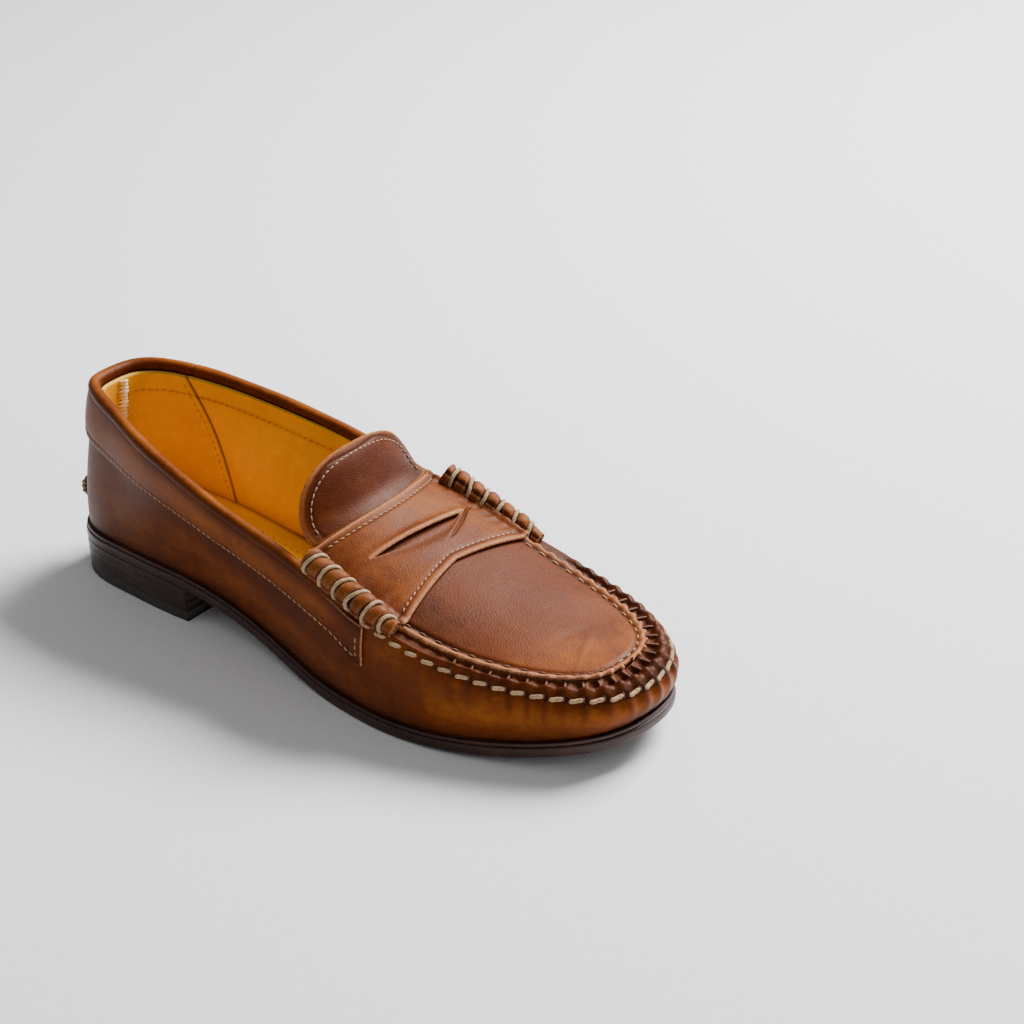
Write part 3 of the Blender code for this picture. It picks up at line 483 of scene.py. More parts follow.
SOLE_EDGE = edge_leather("sole_edge",
                         (0.034, 0.0078, 0.0034), (0.011, 0.0028, 0.0015), (0.075, 0.020, 0.010))
HEEL_EDGE = edge_leather("heel_edge",
                         (0.030, 0.0090, 0.0040), (0.010, 0.0034, 0.0018), (0.060, 0.020, 0.0095), 14.0)
RUBBER = plain("heel_rubber", (0.016, 0.015, 0.012), (0.030, 0.028, 0.022), 700.0, 0.55)
BOARD = plain("board", (0.42, 0.28, 0.16), (0.30, 0.18, 0.09), 400.0, 0.8)
CORK = plain("cork", (0.42, 0.26, 0.12), (0.24, 0.13, 0.05), 260.0, 0.9, 0.6)
STEEL = plain("steel", (0.60, 0.60, 0.61), (0.46, 0.46, 0.48), 300.0, 0.32, 0.05, 1.0)
BRASS = plain("brass", (0.62, 0.43, 0.16), (0.48, 0.31, 0.10), 300.0, 0.34, 0.05, 1.0)


# ---------------------------------------------------------------- mesh builders
def grid_faces(rows, cols, loop=False):
    """Four-sided faces of a grid of points. With loop, the last row joins the first."""
    i = np.arange(rows if loop else rows - 1)[:, None]
    k = np.arange(cols - 1)[None, :]
    j = (i + 1) % rows
    return np.stack([i * cols + k, j * cols + k, j * cols + k + 1, i * cols + k + 1], -1).reshape(-1, 4)


def ring_faces(rows, ring):
    """Faces of a tube: rows of closed rings, with a cap at both ends."""
    i = np.arange(rows - 1)[:, None]
    k = np.arange(ring)[None, :]
    m = (k + 1) % ring
    sides = np.stack([i * ring + k, i * ring + m, (i + 1) * ring + m, (i + 1) * ring + k], -1).reshape(-1, 4)
    first = tuple(reversed(range(ring)))
    last = tuple((rows - 1) * ring + n for n in range(ring))
    return [tuple(f) for f in sides] + [first, last]


def vertex_normals(points, faces):
    a, b, c, d = (points[faces[:, i]] for i in range(4))
    flat = np.cross(c - a, d - b)
    total = np.zeros_like(points)
    for i in range(4):
        np.add.at(total, faces[:, i], flat)
    return total / (np.linalg.norm(total, axis=1)[:, None] + 1e-20)


def unit(v):
    return v / (np.linalg.norm(v, axis=-1)[..., None] + 1e-20)


def weld(points, faces):
    """Joins points that lie together. Returns points, faces and which old point each new one was."""
    key = np.round(points / 2e-6).astype(np.int64)
    _, first, back = np.unique(key, axis=0, return_index=True, return_inverse=True)
    return points[first], back.reshape(-1)[faces], first


def piece(name, points, faces, paints, slot, nodes=(), body="root", marks=None, face_paint=None, ride=True):
    """A finished object in the row frame, with its marks as point attributes."""
    mesh = bpy.data.meshes.new(name)
    clean = [tuple(dict.fromkeys(int(i) for i in f)) for f in faces]
    kept = [i for i, f in enumerate(clean) if len(f) > 2]
    mesh.from_pydata([tuple(p) for p in (np.asarray(points) + SHIFT)], [], [clean[i] for i in kept])
    for paint in paints if isinstance(paints, (list, tuple)) else [paints]:
        mesh.materials.append(paint)
    for key, values in (marks or {}).items():
        attribute = mesh.attributes.new(key, "FLOAT", "POINT")
        attribute.data.foreach_set("value", np.ascontiguousarray(values, np.float32))
    if face_paint is not None:
        mesh.polygons.foreach_set("material_index", np.asarray(face_paint, np.int32)[kept])
    bm = bmesh.new()
    bm.from_mesh(mesh)
    bmesh.ops.remove_doubles(bm, verts=bm.verts, dist=1e-6)
    bmesh.ops.recalc_face_normals(bm, faces=bm.faces)
    bm.to_mesh(mesh)
    bm.free()
    mesh.shade_smooth()
    obj = bpy.data.objects.new(name, mesh)
    bpy.context.scene.collection.objects.link(obj)
    if ride:
        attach(obj, body)
    if nodes:
        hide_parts(*nodes)
    return obj


EDGE_STEPS = 3                      # rows of points round a cut edge


def sheet(name, grid, thickness, paints, slot, up="out", loop=False, marks=None, faces=None, **more):
    """A sheet of leather from a grid of points on its face, with a rounded cut edge all round.

    up says where the face looks: out of the shoe, or upwards. With two paints, the underside has the second.
    """
    if faces is None:
        rows, cols, _ = grid.shape
        faces = grid_faces(rows, cols, loop)
    points, faces, first = weld(np.asarray(grid, float).reshape(-1, 3), faces)
    faces = faces[[len(set(f)) > 2 for f in faces.tolist()]]
    normal = vertex_normals(points, faces)
    if up == "out":
        middle = np.array([np.interp(points[:, 1], LIP_LAT[:, 1], (LIP_LAT[:, 0] + LIP_MED[:, 0]) / 2),
                           np.clip(points[:, 1], 0.035, 0.25)]).T
        hint = np.sum(normal[:, :2] * (points[:, :2] - middle), axis=1).mean()
    else:
        hint = normal[:, 2].mean()
    if hint < 0:
        faces = faces[:, ::-1]
        normal = -normal
    pairs = np.concatenate([np.stack([faces[:, i], faces[:, (i + 1) % 4]], 1) for i in range(4)])
    pairs = pairs[pairs[:, 0] != pairs[:, 1]]
    size = len(points)
    code = pairs[:, 0] * size + pairs[:, 1]
    border = pairs[~np.isin(code, pairs[:, 1] * size + pairs[:, 0])]
    outward = np.zeros_like(points)
    away = unit(np.cross(points[border[:, 1]] - points[border[:, 0]], normal[border[:, 0]]))
    np.add.at(outward, border[:, 0], away)
    np.add.at(outward, border[:, 1], away)
    ring = np.unique(border)
    slot_of = np.full(size, -1)
    slot_of[ring] = np.arange(len(ring))
    half = thickness / 2
    levels = [points]
    names = [lambda i: i]
    total = size
    for k in range(1, EDGE_STEPS + 1):
        angle = math.pi * k / (EDGE_STEPS + 1)
        where = points - normal * half * (1 - math.cos(angle)) + unit(outward) * half * math.sin(angle)
        levels.append(where[ring])
        names.append(lambda i, base=total: base + slot_of[i])
        total += len(ring)
    levels.append(points - normal * 2 * half)
    names.append(lambda i, base=total: base + i)
    strips = [np.stack([upper(border[:, 1]), upper(border[:, 0]),
                        lower(border[:, 0]), lower(border[:, 1])], 1)
              for upper, lower in zip(names, names[1:])]
    under = faces[:, ::-1] + total
    every = np.concatenate([faces, *strips, under])
    face_paint = None
    if isinstance(paints, (list, tuple)) and len(paints) > 1:
        face_paint = np.r_[np.zeros(len(every) - len(under), int), np.ones(len(under), int)]
    raw_edge = np.r_[np.zeros(size), np.ones(EDGE_STEPS * len(ring)), np.zeros(size)]
    found = {"cut": raw_edge}
    for key, values in (marks or {}).items():
        flat = np.broadcast_to(np.asarray(values, float), grid.shape[:2]).reshape(-1)[first]
        spread = np.r_[flat, np.tile(flat[ring], EDGE_STEPS), flat]
        found[key] = np.maximum(spread, raw_edge) if key == "cut" else spread
    return piece(name, np.vstack(levels), every, paints, slot, marks=found, face_paint=face_paint, **more)


def along_path(s, far, table):
    """Rows of the table at distances s along its path."""
    return np.stack([np.interp(s, far, table[:, k]) for k in range(3)], -1)


def path_frame(path, hint):
    """Directions along a path, to its side and up from it."""
    along = unit(np.gradient(path, axis=0))
    side = unit(np.cross(along, hint))
    return along, side, np.cross(side, along)


def around(centre, side, up, angle, radius):
    """Rings of points round the rows of centre, at the angles and radii given."""
    return centre[:, None, :] + (side[:, None, :] * np.cos(angle)[..., None]
                                 + up[:, None, :] * np.sin(angle)[..., None]) * radius[..., None]


def full_turn(count):
    """Angles of a ring of points, as a row."""
    return np.linspace(0, 2 * math.pi, count, endpoint=False)[None, :]


def strand(path, normal, radius, sides=8, ply=0.0, turn=0.0, ends=(0.35, 0.8)):
    """Round thread along a path, drawn together at its ends. ply gives it the ridges of twisted cord."""
    side, up = path_frame(path, normal)[1:]
    n = len(path)
    size = np.ones(n)
    for i, share in enumerate(ends):
        size[i] = size[n - 1 - i] = share
    far = length_along(path)
    angle = full_turn(sides)
    r = radius * size[:, None] * (1 + ply * np.cos(3 * angle + turn * far[:, None]))
    return around(path, side, up, angle, r).reshape(-1, 3), ring_faces(n, sides)


def bundle(name, strands, paint, **more):
    """Many strands as one object."""
    points, faces, base = [], [], 0
    for p, f in strands:
        points.append(p)
        faces += [tuple(i + base for i in face) for face in f]
        base += len(p)
    return piece(name, np.vstack(points), faces, paint, "thread", **more)


def sewn(path, normal, pitch, length, radius, slant=0.0, proud=0.35, start=0.0):
    """Stitches along a path on a surface: each dips into the leather at its ends."""
    far = length_along(path)
    count = int((far[-1] - start - length) / pitch) + 1
    made = []
    for i in range(count):
        share = np.linspace(0, 1, 7)
        s = start + i * pitch + length * share
        centre = along_path(s, far, path)
        out = unit(along_path(s, far, normal))
        across = np.cross(unit(np.gradient(centre, axis=0)), out)
        centre = centre + across * ((share - 0.5) * slant * length)[:, None]
        lift = radius * (proud + 0.9 * np.sin(math.pi * share) ** 0.7 - 0.9)
        made.append(strand(centre + out * lift[:, None], out, radius, 6))
    return made


def upwards(path):
    """An upward normal for each point of a path."""
    return np.tile([0, 0, 1.0], (len(path), 1))


def surface_normal(maker, u, v, du=1e-3, dv=1e-3):
    """Outward normals of a surface given as a function of two numbers."""
    a = maker(u + du, v) - maker(u - du, v)
    b = maker(u, v + dv) - maker(u, v - dv)
    return unit(np.cross(a, b))


# ---------------------------------------------------------------- bottom unit
def slab(name, inset, low, high, paint, slot, node, y_from=None, y_to=None, radius=0.7 * MM, count=170):
    """One layer of the bottom with rounded edges. low and high are functions of y."""
    turn = np.linspace(0, 1, count)
    first = 0.0 if y_from is None else 0.5
    last = 1.0 if y_to is None else 0.5
    wave = -np.cos(math.pi * (first + (last - first) * turn))
    even = (wave - wave[0]) / (wave[-1] - wave[0]) if first != last else turn
    start = TABLE_P[:, 1].min() if y_from is None else y_from
    stop = TABLE_P[:, 1].max() if y_to is None else y_to
    y = start + (stop - start) * (0.85 * even + 0.15 * turn)
    theta = np.linspace(math.pi / 2, 0, 5)
    dip = np.r_[radius * (1 - np.cos(theta)), radius * (1 - np.cos(theta))[::-1]]
    drop = np.r_[radius * (1 - np.sin(theta)), radius * (1 - np.sin(theta))[::-1]]
    from_top = np.arange(10) < 5
    halves = []
    for side in (1, -1):
        point, normal = edge(u_at(y, side))
        flat = point[:, None, :] - normal[:, None, :] * (inset + dip)[None, :, None]
        if y_to is not None:
            flat[..., 1] = np.minimum(flat[..., 1], y_to)
        z = np.where(from_top, high(flat[..., 1]) - drop, low(flat[..., 1]) + drop)
        halves.append(np.concatenate([flat, z[..., None]], -1))
    halves[1] = halves[1][:, ::-1]
    ring = np.concatenate(halves, 1)
    return piece(name, ring.reshape(-1, 3), ring_faces(len(y), ring.shape[1]), paint, slot, nodes=(node,))


def over(height):
    """Height above the ground of a face that runs parallel to the outsole."""
    return lambda y: sole_bottom(y) + height


def level(height):
    """A flat face at one height."""
    return lambda y: np.full_like(y, height)


def build_bottom():
    """Outsole, midsole and the stacked heel."""
    joint = over(OUTSOLE_T + 0.15 * MM)
    slab("sole_leather", 0.0, over(0.0), joint, SOLE_EDGE, "sole_leather", "outsole", radius=1.0 * MM)
    slab("sole_welt", 0.45 * MM, joint, over(SOLE_T), SOLE_EDGE, "sole_leather", "midsole",
         radius=0.55 * MM)
    slab("heel_rubber_lift", 0.7 * MM, level(0.0), level(TOP_PIECE_T), RUBBER, "heel_rubber", "heel_top_piece",
         y_to=HEEL_BREAST, radius=0.6 * MM, count=90)
    pitch = (HEEL_DROP - TOP_PIECE_T) / LIFT_COUNT
    for i in range(LIFT_COUNT):
        low = TOP_PIECE_T + i * pitch + 0.03 * MM
        high = over(-0.03 * MM) if i == LIFT_COUNT - 1 else level(low + pitch - 0.06 * MM)
        slab("heel_layer_%d" % (i + 1), (0.6 - 0.2 * i) * MM, level(low), high, HEEL_EDGE, "heel_leather",
             "heel_lift_%d" % (i + 1), y_to=HEEL_BREAST, radius=0.25 * MM, count=90)


# ---------------------------------------------------------------- upper
PUCKERS = RANDOM.uniform(0.55, 1.35, 400)


def pucker_strength(phase):
    """How strongly the leather is gathered at each stitch of the apron seam."""
    index = np.round(phase).astype(int) + 200
    return PUCKERS[np.clip(index, 0, 399)]


def wrap_surface(u, v):
    """The wrap's wall with its puckers: the leather swells between the stitches and is drawn in at them."""
    u, v = np.broadcast_arrays(u, v)
    s = seam_distance(u)
    phase = s / STITCH_PITCH
    below = (1 - v) * wall_height(u)
    near = ramp(0.69, 0.75, np.abs(u))
    swell = np.cos(2 * math.pi * phase) * hill(below - 1.5 * MM, 4.5 * MM) * 0.34 * MM
    folds = np.cos(2 * math.pi * phase + 0.6 * np.sin(phase * 0.7)) * hill(below - 5 * MM, 8 * MM)
    folds = folds * 0.27 * MM * pucker_strength(phase)
    pull = -0.45 * MM * hill(below - 3.4 * MM, 1.7 * MM)
    slow = 0.20 * MM * np.sin(9.0 * u + 5 * v) * np.sin(math.pi * v) + 0.10 * MM * np.sin(31 * u + 8 * v)
    return wall(u, v, -(near * (swell + folds + pull) + slow * 0.6))


def wall_marks(u, v):
    """Colour of the wall: painted shade at the sole, under the band and under the ledge's rim, dark needle
    holes and painted shade in the puckers at the seam, tan on the toe.
    """
    u, v = np.broadcast_arrays(u, v)
    a = np.abs(u)
    below = (1 - v) * wall_height(u)
    # painted shade along the foot of the wall, where it meets the sole
    tone = -0.95 * np.exp(-v * wall_height(u) / (2.6 * MM))
    fore = ramp(0.66, 0.78, a)
    phase = seam_distance(u) / STITCH_PITCH
    needle_hole = np.cos(math.pi * phase) ** 12 * hill(below - 2.9 * MM, 1.1 * MM)
    # painted shade in the creases between the puckers
    crease_shade = np.cos(math.pi * phase + 0.4 * np.sin(phase)) ** 6 * hill(below - 6.5 * MM, 5 * MM)
    tone = tone - fore * (1.1 * needle_hole + 0.40 * crease_shade * pucker_strength(phase))
    # painted shade just under the wall's rim, beneath the ledge
    tone = tone - 0.55 * fore * hill(below - 1.0 * MM, 3.2 * MM)
    tone = tone + 0.62 * fore * hill(v - 0.42, 0.22) * (0.45 + 0.55 * ramp(0.80, 0.97, a))
    tone = tone + 0.30 * (1 - fore) * hill(v - 0.26, 0.22) * ramp(0.05, 0.3, a)
    tone = tone - 0.35 * (1 - ramp(0.02, 0.13, a)) * hill(v - 0.2, 0.3)
    # painted shade below the collar band's lower edge
    tone = tone - 0.30 * (1 - fore) * hill(below - 25 * MM, 7 * MM)
    wine = 0.55 * (1 - ramp(0.08, 0.40, a)) * hill(v - 0.55, 0.35) + 0.15
    wine = wine + 0.30 * fore * hill(v - 0.75, 0.2) * (1 - ramp(0.9, 1.0, a))
    return {"tone": tone, "wine": wine * (1 - 0.7 * fore)}


def build_wrap():
    """The wrap's wall and the ledge that is turned over at the apron seam, as one sheet."""
    turn = np.linspace(-1, 1, 1100, endpoint=False)
    u = (turn - 0.42 * np.sin(2 * math.pi * turn) / (2 * math.pi))[:, None]
    fore = ramp(REAR_END, SEAM_FROM, np.abs(u))
    rows = np.r_[np.linspace(0, 0.7, 22), np.linspace(0.72, 1.0, 22)][None, :]
    v = rows * (1 - cap_drop(u))
    side = wrap_surface(u, v)
    normal = edge(u[:, 0])[1]
    width = by_side(u[:, 0], LEDGE_LAT, LEDGE_MED)
    share = np.linspace(0, 1, 14)[1:][None, :]
    phase = seam_distance(u) / STITCH_PITCH
    near = ramp(0.69, 0.75, np.abs(u))
    inward = (width[:, None] - 0.4 * MM) * fore + 1.6 * MM * (1 - fore)
    rim = side[:, -1]
    across = np.zeros((len(u), share.shape[1], 3))
    across[..., :2] = rim[:, None, :2] - normal[:, None, :] * (inward * share)[..., None]
    shoulder = 0.85 * MM * np.sin(math.pi * np.clip(share * 2.2, 0, 1)) ** 0.8
    trough = -0.75 * MM * np.sin(math.pi * np.clip((share - 0.35) / 0.65, 0, 1))
    pleat = 0.42 * MM * np.cos(2 * math.pi * phase) * np.sin(math.pi * share ** 0.8)
    pleat = pleat * pucker_strength(phase)
    toe = 0.35 + 0.65 * ramp(0.78, 0.92, np.abs(u))
    ledge = LEDGE_RISE * MM * share + near * (shoulder + trough + pleat * toe)
    across[..., 2] = rim[:, None, 2] + fore * ledge
    grid = np.concatenate([side, across], 1)
    marks = wall_marks(u, v)
    # painted shade over the ledge under the plug's lip, less deep on the pleats' crests
    ledge_shade = -(0.78 - 0.30 * np.abs(np.cos(math.pi * phase))) * np.sin(math.pi * share ** 0.7) - 0.1
    for key, values in (("tone", ledge_shade), ("wine", 0.25)):
        marks[key] = np.concatenate([marks[key], np.broadcast_to(values, across.shape[:2])], 1)
    sheet("vamp_wrap", grid, 1.4 * MM, UPPER, "upper_leather", loop=True, marks=marks,
          nodes=("moccasin_wrap",))


def band_depth(u):
    """Height of the collar band."""
    return 24.5 * MM - 5.5 * MM * ramp(0.15, 0.45, np.abs(u))


def band_surface(u, share):
    """The collar band from its lower edge, share 0, to the bead, share 1."""
    u, share = np.broadcast_arrays(u, share)
    height = wall_height(u)
    front = ramp(REAR_END, SEAM_FROM, np.abs(u))
    upper = 1 - cap_drop(u) - 0.11 * front + 1.2 * MM / height * (1 - front)
    lower = 1 - band_depth(u) / height - 0.04 * front
    v = lower + (upper - lower) * share
    deep = (upper - lower) * height * share
    swell = 0.9 * MM * np.sin(math.pi * np.clip(share, 0, 1)) ** 0.8 * (1 - ramp(0.45, 0.6, np.abs(u)))
    dent = 0.28 * MM * hill(deep - COLLAR_ROW, 0.9 * MM)
    edge_in = 0.25 * MM * np.exp(-deep / (0.8 * MM))
    return wall(u, v, -(1.55 * MM + swell - dent - edge_in))


def build_band():
    """The collar band with its stitch row, which turns up at both front ends."""
    u = np.linspace(-BAND_END, BAND_END, 760)[:, None]
    share = (1 - np.cos(np.linspace(0, 0.72, 30) * math.pi)) / (1 - math.cos(0.72 * math.pi))
    share = share[None, :]
    grid = band_surface(u, share)
    a = np.abs(u)
    deep = share * band_depth(u)
    tone = 0.16 - 0.55 * hill(deep - 0.3 * MM, 1.4 * MM) - 0.35 * hill(deep - COLLAR_ROW, 0.8 * MM)
    # painted shade under the bead, and under the beef rolls at the band's front ends
    tone = tone - 0.40 * hill(share - 1.0, 0.16) - 0.50 * ramp(0.53, 0.600, a)
    tone = tone + 0.18 * hill(share - 0.55, 0.25)
    wine = 0.18 + 0.30 * (1 - ramp(0.05, 0.35, a)) + 0.10 * ramp(0.50, 0.60, a)
    sheet("collar_leather", grid, 1.25 * MM, UPPER, "upper_leather",
          marks={"tone": tone, "wine": wine}, nodes=("collar_band",))
    u = np.linspace(-BAND_END + 0.006, BAND_END - 0.006, 1600)
    share = COLLAR_ROW / band_depth(u)
    strands = sewn(band_surface(u, share), surface_normal(band_surface, u, share, 1e-3, 0.02),
                   3.0 * MM, 2.35 * MM, FINE_THREAD, slant=0.22, proud=0.45)
    share = np.linspace(0.16, 0.86, 60)
    for side in (-1, 1):
        u = np.full_like(share, side * (BAND_END - 0.0065))
        strands += sewn(band_surface(u, share), surface_normal(band_surface, u, share, 1e-3, 0.02),
                        3.0 * MM, 2.2 * MM, FINE_THREAD, proud=0.45)
    bundle("collar_stitches", strands, TAN_THREAD)


def bead_axis(u):
    """Centre line of the bead along the topline."""
    return wall(u, 1 - BIND_R / wall_height(u), 0.9 * MM)


def build_bead():
    """Padded bead along the topline: the band's leather rolled over the edge."""
    u = np.linspace(-BEAD_END, BEAD_END, 800)
    axis = bead_axis(u)
    side, up = path_frame(axis, [0, 0, 1.0])[1:]
    angle = full_turn(28)
    seam = hill(u + 0.155, 0.0012)[:, None]
    radius = 2.75 * MM * (1 + 0.03 * np.sin(u * 61)[:, None] + 0.05 * np.maximum(0, np.sin(angle)))
    radius = radius - 0.45 * MM * seam
    radius = radius * (1 - 0.35 * ramp(LINING_END, BEAD_END, np.abs(u)))[:, None]
    points = around(axis, side, up, angle, radius)
    lit = np.maximum(0, np.sin(angle)) ** 2
    # painted highlight along the bead's top and painted shade under it; the wine glaze is laid on the shaded
    # underside only
    tone = 0.42 * lit - 0.45 * (1 - lit) + 0 * u[:, None] - 0.6 * seam
    tone = tone + 0.12 * np.sin(u * 37)[:, None] * lit
    wine = 0.10 + 0.35 * (1 - ramp(0.05, 0.3, np.abs(u)))[:, None] * (1 - lit)
    piece("topline_bead", points.reshape(-1, 3), ring_faces(len(u), 28), UPPER, "upper_leather",
          nodes=("topline_binding",), marks={"tone": tone.reshape(-1), "wine": wine.reshape(-1)})


BACK_SEAM = 0.018                   # |u|: the back seam sits a little to the lateral side


def build_back():
    """Rolled strip over the back seam, and the knot at its foot with its thread."""
    v = np.linspace(0.19, 0.66, 70)
    out = np.append(edge(BACK_SEAM)[1], 0.0)
    side = np.array([-out[1], out[0], 0.0])
    seat = wall(BACK_SEAM + 0 * v, v, -0.6 * MM)
    angle = full_turn(32)
    ripple = 1 + 0.05 * np.sin(v * 90)[:, None] - 0.30 * hill(np.sin(angle) - 1.0, 0.05)
    points = (seat[:, None, :] + side * (np.cos(angle) * 2.7 * MM * ripple)[..., None]
              + out * (np.sin(angle) * 2.9 * MM * ripple)[..., None])
    tone = -0.55 + 0.45 * np.abs(np.cos(angle)) - 0.4 * hill(np.sin(angle) - 1.0, 0.05)
    tone = tone + 0 * v[:, None]
    piece("back_strip", points.reshape(-1, 3), ring_faces(len(v), 32), UPPER, "upper_leather",
          nodes=("back_seam_strip",), marks={"tone": tone.reshape(-1), "wine": 0.4 + 0 * tone.reshape(-1)})
    centre = wall(BACK_SEAM, 0.115) + out * 3.6 * MM + [0, 0, 0.6 * MM]
    turn = np.linspace(0, math.pi, 30)[:, None]
    spin = full_turn(36)
    waist = 1 - 0.13 * hill(np.cos(turn) - 0.26, 0.15) - 0.15 * hill(np.cos(turn) + 0.24, 0.15)
    size = np.array([3.9, 4.2, 5.8]) * MM
    ball = (side * (size[0] * np.sin(turn) * np.cos(spin) * waist)[..., None]
            + out * (size[1] * np.sin(turn) * np.sin(spin) * waist)[..., None]
            + np.array([0, 0, 1.0]) * (size[2] * np.cos(turn) + 0 * spin)[..., None])
    piece("back_knot_leather", (centre + ball).reshape(-1, 3), ring_faces(30, 36), ROLL_SKIN, "upper_leather",
          nodes=("back_seam_knot",), marks={"tone": -0.25 + 0 * ball[..., 0].reshape(-1)})
    wraps = []
    for i, height in enumerate((1.7, 0.1, -1.6)):
        a = np.linspace(0.1, math.pi - 0.1, 28)
        reach = math.sqrt(1 - (height * MM / size[2]) ** 2) * 0.97
        radial = side * np.cos(a)[:, None] + out * np.sin(a)[:, None]
        path = (centre + side * (size[0] * reach * np.cos(a))[:, None]
                + out * (size[1] * reach * np.sin(a))[:, None])
        path[:, 2] += height * MM + 0.6 * MM * np.cos(a + 0.6 * i)
        wraps.append(strand(path, radial, 0.72 * MM, 8, 0.10, 2600.0))
    bundle("back_knot_thread", wraps, THREAD)


def lining_depth(u):
    """How far inside the wall the lining lies: further in round the heel counter."""
    return LINING_DEEP + COUNTER_ROOM * (1 - ramp(0.31, 0.39, np.abs(u)))


def lining_surface(u, v, extra=0.0):
    """Inside of the lining, slightly wavy."""
    u, v = np.broadcast_arrays(u, v)
    wave = 0.22 * MM * np.sin(23 * u + 4 * v) * np.sin(math.pi * np.clip(v, 0, 1))
    return wall(u, v, lining_depth(u) + LINING_T + wave - extra)


def build_linings():
    """Heel pocket and quarter linings, their seam, the stitch row below the topline and the bar-tack."""
    rows = np.linspace(0.075, 1.0, 36)[None, :]
    border = POCKET_LOW + (POCKET_TOP - POCKET_LOW) * rows
    for name, node, side in (("heel_pocket", "heel_lining", 0),
                             ("quarter_inside_lateral", "quarter_lining_lateral", 1),
                             ("quarter_inside_medial", "quarter_lining_medial", -1)):
        share = np.linspace(0, 1, 200 if side else 320)[:, None]
        near = border + 0.0006
        u = side * (near + (LINING_END + 0.012 - near) * share) if side else -border + 2 * border * share
        v = rows * (1 - cap_drop(u) * 0.85)
        grid = lining_surface(u, v, 0.0 if side else -0.35 * MM)
        tone = 0.75 * hill((np.abs(u) - border) * 0.27, 0.6 * MM)
        # painted shade at the lining's foot, where it meets the sock liner
        tone = tone + 0.65 * np.exp(-(v - 0.075) * wall_height(u) / (3.0 * MM))
        below = (1 - v) * wall_height(u)
        tone = np.clip(tone + 0.25 * hill(below - LINING_ROW, 0.7 * MM), 0, 1)
        sheet(name, grid, -LINING_T, LINING, "lining_leather", marks={"tone": tone}, nodes=(node,))
    strands = []
    for side in (-1, 1):
        u = np.linspace(0.012, LINING_END - 0.005, 1100) * side
        v = 1 - LINING_ROW / wall_height(u)
        path = lining_surface(u, v, -0.5 * MM)
        normal = -surface_normal(lining_surface, u, v)
        strands += sewn(path, normal, 3.0 * MM, 2.0 * MM, 0.22 * MM, proud=0.35)
        border_v = np.linspace(0.16, 0.93, 260)
        border_u = side * (POCKET_LOW + (POCKET_TOP - POCKET_LOW) * border_v - 0.010)
        path = lining_surface(border_u, border_v * (1 - cap_drop(border_u) * 0.85), -0.5 * MM)
        normal = unit(np.cross(np.gradient(path, axis=0), [0, 0, 1.0])) * side
        strands += sewn(path, normal, 3.0 * MM, 1.8 * MM, 0.18 * MM, proud=0.2)
    bundle("lining_stitches", strands, GOLD_THREAD)
    corners = np.arange(24)
    u = -0.014 + 0.0098 * (2 * (corners % 2) - 1) + 0.002 * np.sin(corners * 2.3)
    knots = lining_surface(u, np.linspace(0.60, 0.92, 24), -0.5 * MM)
    zigzag = []
    for a, b in zip(knots, knots[1:]):
        share = np.linspace(0, 1, 9)[:, None]
        line = a + (b - a) * share + np.array([0, 1.0, 0]) * (0.9 * MM * np.sin(math.pi * share))
        zigzag.append(strand(line, np.array([0, 1.0, 0.2]), 0.55 * MM, 8, 0.08, 2600.0))
    bundle("bar_tack", zigzag, PALE_THREAD)


def sock_surface(q, y):
    """Top of the sock liner: a shallow dish from the medial edge, q -1, to the lateral edge, q 1."""
    q, y = np.broadcast_arrays(q, y)
    inset = FEATHER_IN + 4.2 * MM
    sides = []
    for side in (1, -1):
        u = u_at(y, side)
        point, normal = edge(u)
        sides.append(point - normal * inset)
    lat, med = sides
    xy = med + (lat - med) * ((1 + q) / 2)[..., None]
    height = sole_bottom(xy[..., 1]) + SOLE_T + 4.9 * MM + GAP
    height = height + 1.1 * MM * np.abs(q) ** 5 * ramp(0.75, 0.45, y / LENGTH)
    return np.concatenate([xy, height[..., None]], -1)


def build_sock():
    """Sock liner with its stitch rows."""
    turn = np.linspace(0, 1, 190)
    y = 0.0005 + (LENGTH - 0.001) * (0.8 * (1 - np.cos(math.pi * turn)) / 2 + 0.2 * turn)
    q = np.sin(np.linspace(-1, 1, 45) * math.pi / 2)
    grid = sock_surface(q[None, :], y[:, None])
    border = 1 - np.abs(q)[None, :]
    worn = ramp(0.10, 0.40, y / LENGTH) * ramp(0.4, 0.6, y / LENGTH)
    # the border term is painted shade along the sock liner's edge, where it meets the lining; worn is real
    # wear
    tone = 0.75 * hill(border * 28 * MM, 1.6 * MM) + 0.30 * worn[:, None]
    sheet("sock_leather", grid, 1.0 * MM, LINING, "lining_leather", up="up",
          marks={"tone": np.clip(tone, 0, 1)}, nodes=("sock_liner",))
    strands = []
    for side in (-1, 1):
        line = np.linspace(0.028, 0.20, 700)
        half = np.linalg.norm(sock_surface(side, line)[:, :2] - sock_surface(0.0, line)[:, :2], axis=1)
        path = sock_surface(side * (1 - SOCK_ROW / half), line)
        strands += sewn(path, upwards(path), 3.2 * MM, 2.0 * MM, 0.24 * MM, proud=0.35)
    bundle("sock_stitches", strands, GOLD_THREAD)


